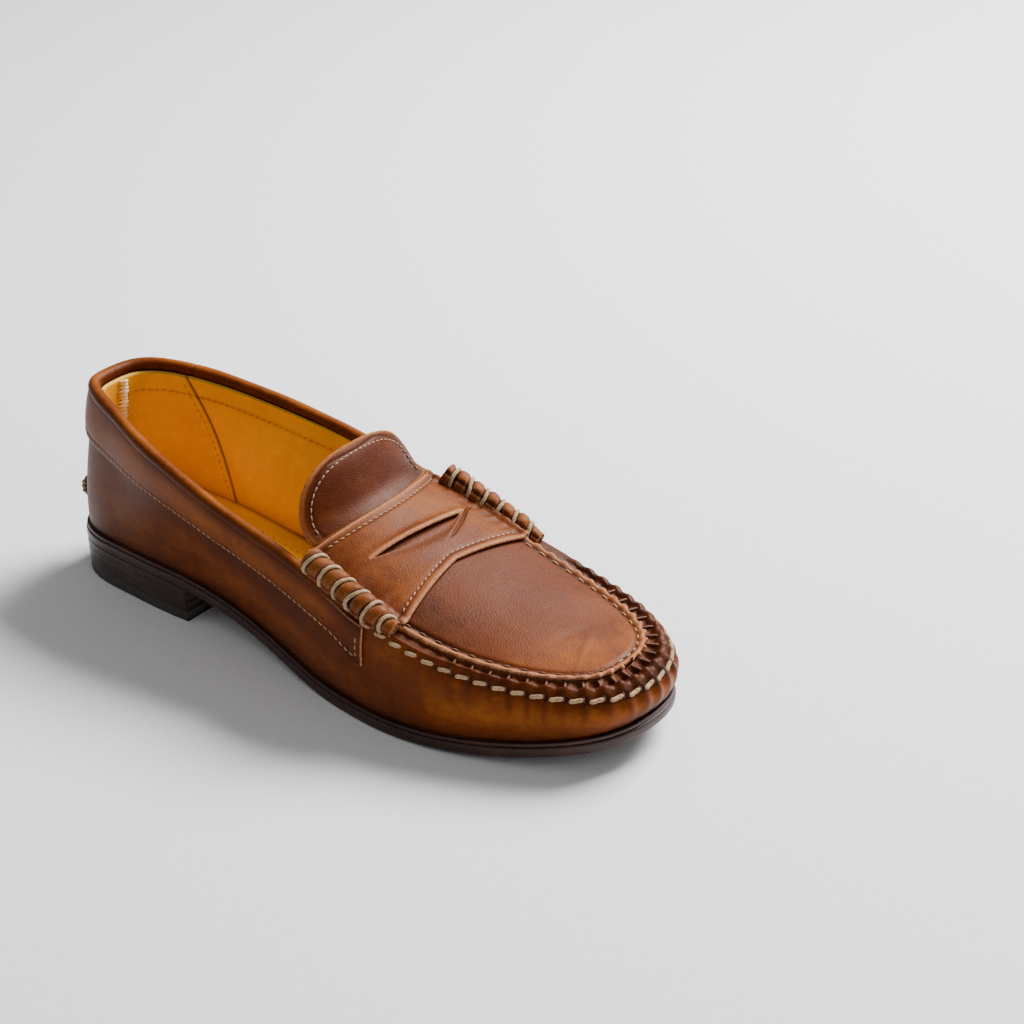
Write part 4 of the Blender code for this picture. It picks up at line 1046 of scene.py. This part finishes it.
# ---------------------------------------------------------------- instep
def plug_top(u, w):
    """Top face of the plug with its scalloped lip, and the distance in from that lip."""
    u, w = np.broadcast_arrays(u, w)
    q = np.abs(w)
    side = np.where(w >= 0, 1.0, -1.0)
    phase = seam_distance(side * u) / STITCH_PITCH
    rim, spine, point = (plug_surface(u, x) for x in (side, 0.0 * w, w))
    way = (rim - spine)[..., :2]
    inside = (1 - q) * np.linalg.norm(way, axis=-1)
    scallop = (0.85 * np.cos(2 * math.pi * phase) - 0.1) * MM * hill(inside, 1.1 * MM)
    xy = point[..., :2] + unit(way) * scallop[..., None]
    y = xy[..., 1]
    xl, xm = (np.interp(y, table[:, 1], table[:, 0]) for table in (LIP_LAT, LIP_MED))
    across = np.clip((2 * xy[..., 0] - xl - xm) / np.maximum(xl - xm, MM), -1, 1)
    z = top(across, y)[..., 2] + 1.0 * MM
    z = z + 1.05 * MM * hill(inside, 1.5 * MM) - 0.50 * MM * hill(inside - 3.0 * MM, 1.0 * MM)
    z = z + 0.50 * MM * np.cos(2 * math.pi * phase) * hill(inside - 0.6 * MM, 1.6 * MM)
    x = xy[..., 0]
    z = z + 0.11 * MM * hill(y - 0.262 - 0.35 * (x - 0.012), 1.6 * MM) * hill(x - 0.006, 11 * MM)
    z = z - 0.12 * MM * hill(y - 0.252 + 0.2 * x, 2.0 * MM) * hill(x - 0.004, 12 * MM)
    z = z + 0.20 * MM * np.sin(y * 160 + x * 70) * np.sin(x * 90) * ramp(0.70, 0.85, y / LENGTH)
    return np.concatenate([xy, z[..., None]], -1), inside


def build_plug():
    """The apron, with the raised and scalloped lip that the seam draws up."""
    u = np.r_[np.linspace(0.555, 0.80, 120), np.linspace(0.802, 1.0, 260)][:, None]
    w = np.sin(np.linspace(-1, 1, 141) * math.pi / 2)[None, :]
    w = (0.72 * w + 0.28 * np.linspace(-1, 1, 141)[None, :]) * 0.985
    grid, inside = plug_top(u, w)
    y = grid[..., 1] / LENGTH
    x = grid[..., 0]
    tone = 0.34 * ramp(0.80, 0.93, y) - 0.30 * hill(x - 0.030, 14 * MM) * hill(y - 0.74, 0.10)
    tone = tone + 0.14 * hill(x - 0.022, 18 * MM) * hill(y - 0.80, 0.12)
    tone = tone - 0.80 * hill(inside - 2.9 * MM, 0.8 * MM) + 0.55 * hill(inside - 0.4 * MM, 1.2 * MM)
    tone = tone - 0.35 * hill(y - 0.66, 0.045) - 0.08
    wine = 0.62 * hill(y - 0.775, 0.085) * hill(x + 0.004, 26 * MM) + 0.10
    cut = 0.95 * hill(inside, 1.35 * MM)
    sheet("apron", grid, 1.7 * MM, UPPER, "upper_leather", up="up",
          marks={"tone": tone, "wine": wine, "cut": cut}, nodes=("plug",))


def build_apron_seam():
    """Thick thread of the apron seam: dashes on the wall, dashes on the plug and the turns over the ledge."""
    reach = 0.128                   # the seam's length on each side of the toe
    inner_radius = {1: 0.44 * MM, -1: 0.32 * MM}
    dashes = []
    inner = {1: [], -1: []}
    crossing = []
    count = int(reach / STITCH_PITCH)
    for i in range(-count, count + 1):
        s = (i + 0.5) * STITCH_PITCH + np.linspace(-0.36, 0.36, 13) * STITCH_PITCH
        if abs(s).max() > reach:
            continue
        u = u_of_seam(s)
        height = wall_height(u)
        share = np.linspace(0, 1, 13)
        v = 1 - (2.7 * MM + 1.0 * MM * (share - 0.5)) / height
        out = surface_normal(wrap_surface, u, v)
        out = np.where(np.sum(out[:, :2] * edge(u)[1], axis=1)[:, None] < 0, -out, out)
        lift = 0.82 * MM * (0.25 + 0.95 * np.sin(math.pi * share) ** 0.6 - 0.75)
        path = wrap_surface(u, v) + out * lift[:, None]
        dashes.append(strand(path, out, 0.86 * MM, 12, 0.09, 2400.0, ends=(0.4, 0.8)))
    for i in range(-count, count + 1):
        share = np.linspace(0, 1, 9)
        s = (i + 0.5 + 0.52 * (share - 0.5)) * STITCH_PITCH
        if abs(s).max() > reach:
            continue
        u = np.abs(u_of_seam(s))
        side = np.where(s >= 0, 1.0, -1.0)
        long = np.linalg.norm((plug_surface(u, side) - plug_surface(u, 0 * side))[:, :2], axis=1)
        path = plug_top(u, side * (1 - 2.6 * MM / long))[0]
        path[:, 2] += 0.55 * MM * np.sin(math.pi * share) ** 0.7 - 0.28 * MM
        which = 1 if s.mean() > 10 * MM else -1
        inner[which].append(strand(path, np.array([0, 0, 1.0]), inner_radius[which], 8, 0.08, 2600.0))
    for i in range(-9, 12):
        u = float(u_of_seam((i + 0.12) * STITCH_PITCH))
        low = wrap_surface(np.array([u]), np.array([1 - 3.2 * MM / wall_height(u)]))[0]
        over_rim = wall(u, 1.0) + [0, 0, 1.05 * MM]
        inner_lip = lip(u) + [0, 0, 0.1 * MM]
        t = np.linspace(0, 1, 15)[:, None]
        path = low * (1 - t) ** 2 + 2 * t * (1 - t) * over_rim + inner_lip * t ** 2
        crossing.append(strand(path, np.append(edge(u)[1], 1.0), 0.48 * MM, 8, 0.08, 2600.0))
    bundle("apron_stitches", dashes, THREAD, nodes=("apron_seam_thread",))
    bundle("apron_inner_stitches", inner[-1], THREAD)
    bundle("apron_lip_stitches", inner[1], DARK_THREAD)
    bundle("apron_cross_stitches", crossing, DARK_THREAD)


STRAP_BACK, STRAP_BOW = 0.562 * LENGTH, 8.0 * MM
STRAP_FRONT, STRAP_SPREAD = 0.680 * LENGTH, 5.5 * MM
SLOT_AT, SLOT_HALF, SLOT_TALL, SLOT_TILT = 0.626 * LENGTH, 27.5 * MM, 2.1 * MM, -2.2 * MM
STRAP_LIFT = 1.0 * MM + GAP + 1.25 * 1.7 * MM


def strap_edges(q):
    """Where the strap's back and front edges run."""
    return STRAP_BACK - STRAP_BOW * q**2, STRAP_FRONT + STRAP_SPREAD * np.abs(q)


def slot_line(q):
    """Where the slot runs, and how far each lip stands from that line."""
    x = top(q, SLOT_AT + 0 * q)[..., 0]
    across = (x - (float(top(0.0, SLOT_AT)[0]) - 1.0 * MM)) / SLOT_HALF
    line = SLOT_AT - 0.45 * STRAP_BOW * np.clip(across**2, 0, 1.4) + SLOT_TILT * np.clip(across, -1.2, 1.2)
    return line, SLOT_TALL * np.clip(1 - across**2, 0, None) ** 0.8, across


def strap_point(q, y):
    """Top face of the strap: worn dents at the stitching, wrinkles beside the rolls, lifted slot lip."""
    q, y = np.broadcast_arrays(q, y)
    upper, lower = strap_edges(q)
    line, opening, across = slot_line(q)
    inside = np.clip(1 - across**2, 0, None)
    lift = STRAP_LIFT + 1.15 * MM * inside**0.7 * hill(y - (line - opening), 2.2 * MM) * (y < line)
    lift = lift - 0.75 * MM * inside * hill(y - (line + opening), 3.0 * MM) * (y > line)
    dents = hill(y - upper - STRAP_ROWS[0], 0.8 * MM) + hill(lower - y - STRAP_ROWS[1], 0.8 * MM)
    wrinkles = np.sin(y * 420 + 9 * q + 1.3 * np.sin(y * 900)) * ramp(0.72, 0.95, np.abs(q))
    lift = lift - 0.28 * MM * dents + 0.25 * MM * wrinkles
    lift = lift + 1.6 * MM * ramp(0.92, 1.0, -q) + 1.2 * MM * ramp(0.92, 1.0, q)
    cut_q = np.clip((q + 0.90) / 0.72, 0, 1)
    cut_y = line + opening + 5.0 * MM * cut_q ** 1.3
    gash = hill(y - cut_y, 0.5 * MM) * ramp(0.0, 0.15, cut_q) * ramp(1.0, 0.8, cut_q)
    beside = hill(y - cut_y + 1.3 * MM, 0.9 * MM) * ramp(0, 0.2, cut_q) * ramp(1, 0.8, cut_q)
    lift = lift - 0.9 * MM * gash + 0.25 * MM * beside
    sag = -0.5 * MM * hill(y - (line + 13 * MM), 6 * MM) * hill(q - 0.1, 0.5)
    return top(q, y, lift + sag), gash


def build_strap():
    """The penny strap with its open slot, a cut in its face and two stitch rows."""
    q = np.linspace(-0.99, 0.985, 228)[None, :]
    upper, lower = strap_edges(q)
    line, opening, across = slot_line(q)
    t = np.linspace(0, 1, 44)[:, None]
    near = (1 - np.cos(t * math.pi)) / 2
    t = 0.5 * t + 0.5 * near
    y_back = upper + (line - opening - upper) * t
    y_front = line + opening + (lower - line - opening) * t
    y = np.concatenate([y_back, y_front], 0)
    grid, gash = strap_point(q, y)
    rows, cols = y.shape
    faces = grid_faces(rows, cols)
    faces = faces[faces[:, 0] // cols != len(t) - 1]        # the slot
    seams = hill(y - upper - STRAP_ROWS[0], 0.7 * MM) + hill(lower - y - STRAP_ROWS[1], 0.7 * MM)
    tone = 0.16 - 0.55 * seams
    # the term on gash is painted shade in the cut across the strap's face
    tone = tone - 0.30 * ramp(0.72, 0.95, np.abs(q)) - 0.75 * gash
    # painted shade on the slot's front lip, under the back lip
    tone = tone - 0.35 * hill(y - line - opening, 2.2 * MM) * (np.abs(across) < 1) * (y > line)
    wine = 0.62 * hill(y - (line + 9 * MM), 6.5 * MM) * hill(q + 0.05, 0.55) + 0.10
    wear = 0.8 * hill(y - upper, 0.8 * MM) + 0.8 * hill(lower - y, 0.8 * MM)
    wear = wear + 0.9 * hill(line - opening - y, 0.9 * MM) * (np.abs(across) < 0.99) * (y < line)
    sheet("penny_strap", grid, 1.5 * MM, STRAP_SKIN, "upper_leather", up="up", faces=faces,
          marks={"tone": tone, "wine": wine, "cut": np.clip(wear, 0, 1)}, nodes=("saddle_strap",))
    strands = []
    fine = np.linspace(-0.90, 0.90, 900)
    upper, lower = strap_edges(fine)
    for where, tilt in ((upper + STRAP_ROWS[0], 0.2), (lower - STRAP_ROWS[1], -0.2)):
        path = strap_point(fine, where)[0]
        strands += sewn(path, upwards(path), 2.9 * MM, 2.2 * MM, 0.29 * MM, slant=tilt, proud=0.5)
    bundle("strap_stitches", strands, TAN_THREAD)


TONGUE_LONG, TONGUE_HALF = 27.0 * MM, 0.88
TONGUE_STEEP = (math.radians(28), math.radians(59))
TOP_PART = 0.30                     # share of the tongue's stitch row that runs across its tip


def tongue_point(q, s):
    """Face of the tongue: it leaves the strap's upper edge and stands up steeper and steeper."""
    q, s = np.broadcast_arrays(q, s)
    fine = np.linspace(-6 * MM, TONGUE_LONG, 300)
    angle = TONGUE_STEEP[0] + (TONGUE_STEEP[1] - TONGUE_STEEP[0]) * ramp(0, 10 * MM, fine)
    angle = angle - math.radians(22) * ramp(18 * MM, TONGUE_LONG, fine) * 0.6
    step = fine[1] - fine[0]
    back = np.cumsum(np.cos(angle)) * step
    rise = np.cumsum(np.sin(angle)) * step
    foot_y = strap_edges(q)[0] - 0.9 * MM - 1.5 * MM * q**2
    foot = top(q, foot_y, 3.3 * MM)
    zero = [np.interp(0.0, fine, back), np.interp(0.0, fine, rise)]
    cup = 0.7 * MM * hill(np.abs(q) - 0.75, 0.2) * (s / TONGUE_LONG)
    cup = cup - 0.5 * MM * hill(q, 0.4) * (s / TONGUE_LONG)
    move = np.stack([0 * s, zero[0] - np.interp(s, fine, back),
                     np.interp(s, fine, rise) - zero[1] + cup], -1)
    return foot + move


def tongue_half(s):
    """Half-width of the tongue as a share of the instep's."""
    return TONGUE_HALF * np.clip(1 - (np.clip(s, 0, None) / TONGUE_LONG) ** 2.6, 0.0004, 1) ** 0.45


def wider(q):
    """The tongue reaches a little further on the medial side."""
    return np.where(q < 0, q * 1.13, q)


def build_tongue():
    """One piece, leather in front and lining behind, that bends at the strap's upper edge."""
    s = (TONGUE_LONG * np.sin(np.linspace(0, 1, 90) * math.pi / 2))[:, None]
    q = np.sin(np.linspace(-1, 1, 101) * math.pi / 2)[None, :] * tongue_half(s)
    grid = tongue_point(wider(q), s)
    reach = 31 * MM
    edge_near = np.minimum((tongue_half(s) - np.abs(q)) * reach, (TONGUE_LONG - s) * 1.2)
    dent = hill(edge_near - 3.0 * MM, 0.8 * MM)
    normal = vertex_normals(grid.reshape(-1, 3), grid_faces(*grid.shape[:2])).reshape(grid.shape)
    normal = normal * np.sign(normal[..., 2].mean())
    grid = grid - normal * (0.22 * MM * dent)[..., None]
    tone = -0.05 - 0.35 * dent + 0.40 * hill(edge_near, 1.0 * MM)
    # painted highlight: a broad lighter patch high on the medial side
    tone = tone + 0.15 * hill(q + 0.35, 0.25) * hill(s - 16 * MM, 8 * MM)
    wine = 0.45 * hill(q - 0.1, 0.5) + 0.1 + 0 * s
    cut = 0.30 * hill(edge_near, 0.6 * MM)
    leaf = sheet("tongue_leaf", grid, 2.4 * MM, (TONGUE_SKIN, LINING), "upper_leather", up="up",
                 marks={"tone": tone, "wine": wine, "cut": cut}, nodes=("tongue", "tongue_lining"), ride=False)
    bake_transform(leaf)
    t = np.linspace(-1, 1, 1200)
    turn = t * math.pi / 2
    path_s = np.clip((TONGUE_LONG - 3.0 * MM) * np.cos(turn) ** 0.9, 0, None)
    limit = tongue_half(path_s * TONGUE_LONG / (TONGUE_LONG - 2.2 * MM)) - 0.085
    turn_at = [-TOP_PART, TOP_PART]
    turn_q = [math.copysign(limit[np.argmin(abs(t - at))], at) for at in turn_at]
    path_q = np.where(np.abs(t) < TOP_PART, np.interp(t, turn_at, turn_q), np.sign(t) * limit)
    path = tongue_point(wider(path_q), path_s)
    out = np.gradient(path, axis=0)
    ds = tongue_point(wider(path_q), path_s + 0.5 * MM) - path
    normal = unit(np.cross(out, ds))
    normal = normal * np.sign(normal[:, 2:3] + 1e-9)
    strands = sewn(path, normal, 2.9 * MM, 2.2 * MM, 0.29 * MM, proud=0.35, start=2.0 * MM)
    sewing = bundle("tongue_stitches", strands, TAN_THREAD, ride=False)
    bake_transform(sewing)


ROLL_SPAN = {1: (0.548, 0.692), -1: (0.560, 0.704)}
ROLL_LIFT = {1: (5.0, 2.0), -1: (5.4, 0.6)}
ROLL_ON_RIM = 0.65
ROLL_PITCH = 7.6 * MM
# rings of a roll's layered end: share of the radius, and how far out in mm
ROLL_CAP = ((0.97, 0.45), (0.88, 0.6), (0.80, -0.7), (0.70, -0.7), (0.62, 0.5), (0.42, 0.5),
            (0.35, -0.6), (0.22, -0.6), (0.15, 0.3), (0.02, 0.3))


def roll_path(side, count=15):
    """Centre line of a beef roll, lying on the seam."""
    start, end = ROLL_SPAN[side]
    y = np.linspace(start, end, count) * LENGTH
    u = u_at(y, side)
    lift = np.linspace(*ROLL_LIFT[side], count) * MM
    return wall(u, 1.0) * ROLL_ON_RIM + lip(u) * (1 - ROLL_ON_RIM) + lift[:, None] * [0, 0, 1]


def build_roll(side, name):
    """A strap end rolled round the seam: bulging between the wraps, with an open fold and a layered end."""
    path = roll_path(side, 170)
    along = unit(np.gradient(path, axis=0))
    across = unit(np.cross(along, [0, 0, 1.0])) * side
    up = np.cross(across, along) * side
    far = length_along(path)
    long = far[-1]
    wraps = 3.2 * MM + ROLL_PITCH * np.arange(int((long - 4.5 * MM) / ROLL_PITCH) + 1)
    angle = full_turn(64)
    slope = 1.4 * MM * np.cos(angle)
    nearest = np.abs((far[:, None] + slope)[..., None] - wraps).min(-1)
    radius = 4.45 * MM + 1.05 * MM * ramp(0.2 * MM, 2.8 * MM, nearest)
    radius = radius - 0.35 * MM * hill(nearest, 0.8 * MM)
    notch = hill(np.angle(np.exp(1j * (angle + 0.28))), 0.13)
    upper_notch = hill(np.angle(np.exp(1j * (angle - 2.35))), 0.16)
    radius = radius - 1.35 * MM * notch - 0.8 * MM * upper_notch
    uneven = 0.10 * MM * np.sin(far[:, None] * 900 + 3 * angle)
    uneven = uneven + 0.12 * MM * np.sin(far[:, None] * 430 - 2 * angle)
    taper = 1 - 0.36 * ramp(long - 10 * MM, long, far)[:, None]
    radius = (radius + uneven) * taper
    body = around(path, across, up, angle, radius)
    caps = [[centre + (ring - centre) * k + way * d * MM for k, d in ROLL_CAP]
            for centre, ring, way in ((path[0], body[0], -along[0]), (path[-1], body[-1], along[-1]))]
    rows = caps[0][::-1] + list(body) + caps[1]
    # painted shade in the open fold, in the upper notch and where each wrap draws the leather in
    tone = 0.05 - 1.2 * notch - 1.0 * upper_notch - 1.0 * hill(nearest, 1.5 * MM)
    tone = tone + 0.25 * ramp(1.5 * MM, 3 * MM, nearest)
    tone = tone + 0 * radius
    # painted shade in the recessed rings of the layered end
    cap_tone = np.array([[-0.9 if d < 0 else 0.1] * 64 for k, d in ROLL_CAP])
    cap_cut = np.array([[0.0 if d < 0 else 0.65] * 64 for k, d in ROLL_CAP])
    tones = np.concatenate([cap_tone[::-1], tone, cap_tone])
    cuts = np.concatenate([cap_cut[::-1], 0.30 * hill(nearest - 1.9 * MM, 0.5 * MM) + 0 * tone, cap_cut])
    piece("roll_" + name, np.concatenate([np.asarray(r)[None] for r in rows]).reshape(-1, 3),
          ring_faces(len(rows), 64), ROLL_SKIN, "upper_leather", nodes=("beef_roll_" + name,),
          marks={"tone": tones.reshape(-1), "wine": 0.1 + 0 * tones.reshape(-1), "cut": cuts.reshape(-1)})
    strands = []
    for i, w in enumerate(wraps):
        a = np.linspace(-0.42 * math.pi, 1.42 * math.pi, 70)
        slant = (1.4 + 0.45 * math.sin(2.3 * i + side)) * MM
        s = w - slant * np.cos(a) + 0.35 * MM * np.sin(2 * a + 1.7 * i)
        centre, ax, az = (along_path(s, far, table) for table in (path, across, up))
        shrink = 1 - 0.36 * ramp(long - 10 * MM, long, s)
        bite = hill(np.angle(np.exp(1j * (a + 0.28))), 0.3)
        reach = ((4.85 * MM - 0.25 * MM * bite) * shrink)[:, None]
        radial = ax * np.cos(a)[:, None] + az * np.sin(a)[:, None]
        thick = (0.82 + 0.08 * math.sin(3.1 * i)) * MM
        strands.append(strand(centre + radial * reach, radial, thick, 10, 0.08, 2300.0))
    bundle("roll_wraps_" + name, strands, THREAD, nodes=("beef_roll_thread_" + name,))


# ---------------------------------------------------------------- carried-over nodes, floor, light, camera
def paint_nodes():
    """The hidden inner pieces keep their CAD meshes and get their own finish."""
    finishes = {"insole": BOARD, "heel_counter": BOARD, "cork_filler": CORK, "shank": STEEL}
    finishes.update({"heel_nail_%d" % i: BRASS for i in range(1, 6)})
    for name, paint in finishes.items():
        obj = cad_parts[name]
        obj.data.materials.clear()
        obj.data.materials.append(paint)


def build_floor():
    """Matt light-grey floor."""
    p = Paint("studio_floor", roughness=0.75, Specular_IOR_Level=0.15)
    grain = p.noise(220.0, 4.0)
    colour = p.mix((0.78, 0.785, 0.785), (0.81, 0.815, 0.815), p.fit(grain, 0.3, 0.7))
    material = p.done(colour, p.bump(grain, 0.05, 0.0004))
    bpy.ops.mesh.primitive_plane_add(size=8.0, location=(0, 0, 0))
    floor = bpy.context.object
    floor.name = "floor"
    floor.data.materials.append(material)


def softbox(name, place, target, size, power):
    """Rectangular area light aimed at the target."""
    light = bpy.data.lights.new(name, "AREA")
    light.shape = "RECTANGLE"
    light.size, light.size_y = size
    light.energy = power
    obj = bpy.data.objects.new(name, light)
    obj.location = place
    way = Vector(target) - Vector(place)
    obj.rotation_euler = way.to_track_quat("-Z", "Y").to_euler()
    bpy.context.scene.collection.objects.link(obj)


VIEW_AZIMUTH, VIEW_ELEVATION = math.radians(125.812), math.radians(27.567)
VIEW_TARGET, VIEW_DISTANCE, VIEW_LENS = Vector((-0.0833, 0.0176, 0.030)), 1.00905, 83.15


def build_camera():
    """Camera of the picture's view. Returns the direction from the shoe to the camera."""
    back = Vector((math.sin(VIEW_AZIMUTH) * math.cos(VIEW_ELEVATION),
                   -math.cos(VIEW_AZIMUTH) * math.cos(VIEW_ELEVATION), math.sin(VIEW_ELEVATION)))
    data = bpy.data.cameras.new("view")
    data.sensor_width = 36.0
    data.lens = VIEW_LENS
    camera = bpy.data.objects.new("view", data)
    camera.location = VIEW_TARGET + back * VIEW_DISTANCE
    camera.rotation_mode = "QUATERNION"
    camera.rotation_quaternion = (-back).to_track_quat("-Z", "Y")
    bpy.context.scene.collection.objects.link(camera)
    bpy.context.scene.camera = camera
    return back


def build_light(back):
    """Large soft key from behind and to the right of the view, weak fill from the left."""
    right = Vector((0, 0, 1)).cross(back).normalized()
    level_back = Vector((back.x, back.y, 0)).normalized()
    up = Vector((0, 0, 1))
    softbox("key", right * 0.9 - level_back * 0.75 + up * 1.25, (0, 0, 0.03), (0.9, 0.9), 97.0)
    softbox("front_fill", right * 0.6 + level_back * 1.3 + up * 1.2, (0, 0, 0.03), (1.2, 1.0), 4.5)
    softbox("left_fill", -right * 1.4 + level_back * 0.2 + up * 1.0, (0, 0, 0.03), (1.0, 1.0), 1.2)
    world = bpy.data.worlds.new("studio")
    world.use_nodes = True
    world.node_tree.nodes["Background"].inputs["Color"].default_value = (0.93, 0.95, 0.97, 1)
    world.node_tree.nodes["Background"].inputs["Strength"].default_value = 0.32
    bpy.context.scene.world = world


build_bottom()
build_wrap()
build_band()
build_bead()
build_back()
build_linings()
build_sock()
build_plug()
build_apron_seam()
build_strap()
build_tongue()
build_roll(1, "lateral")
build_roll(-1, "medial")
paint_nodes()
build_floor()
build_light(build_camera())
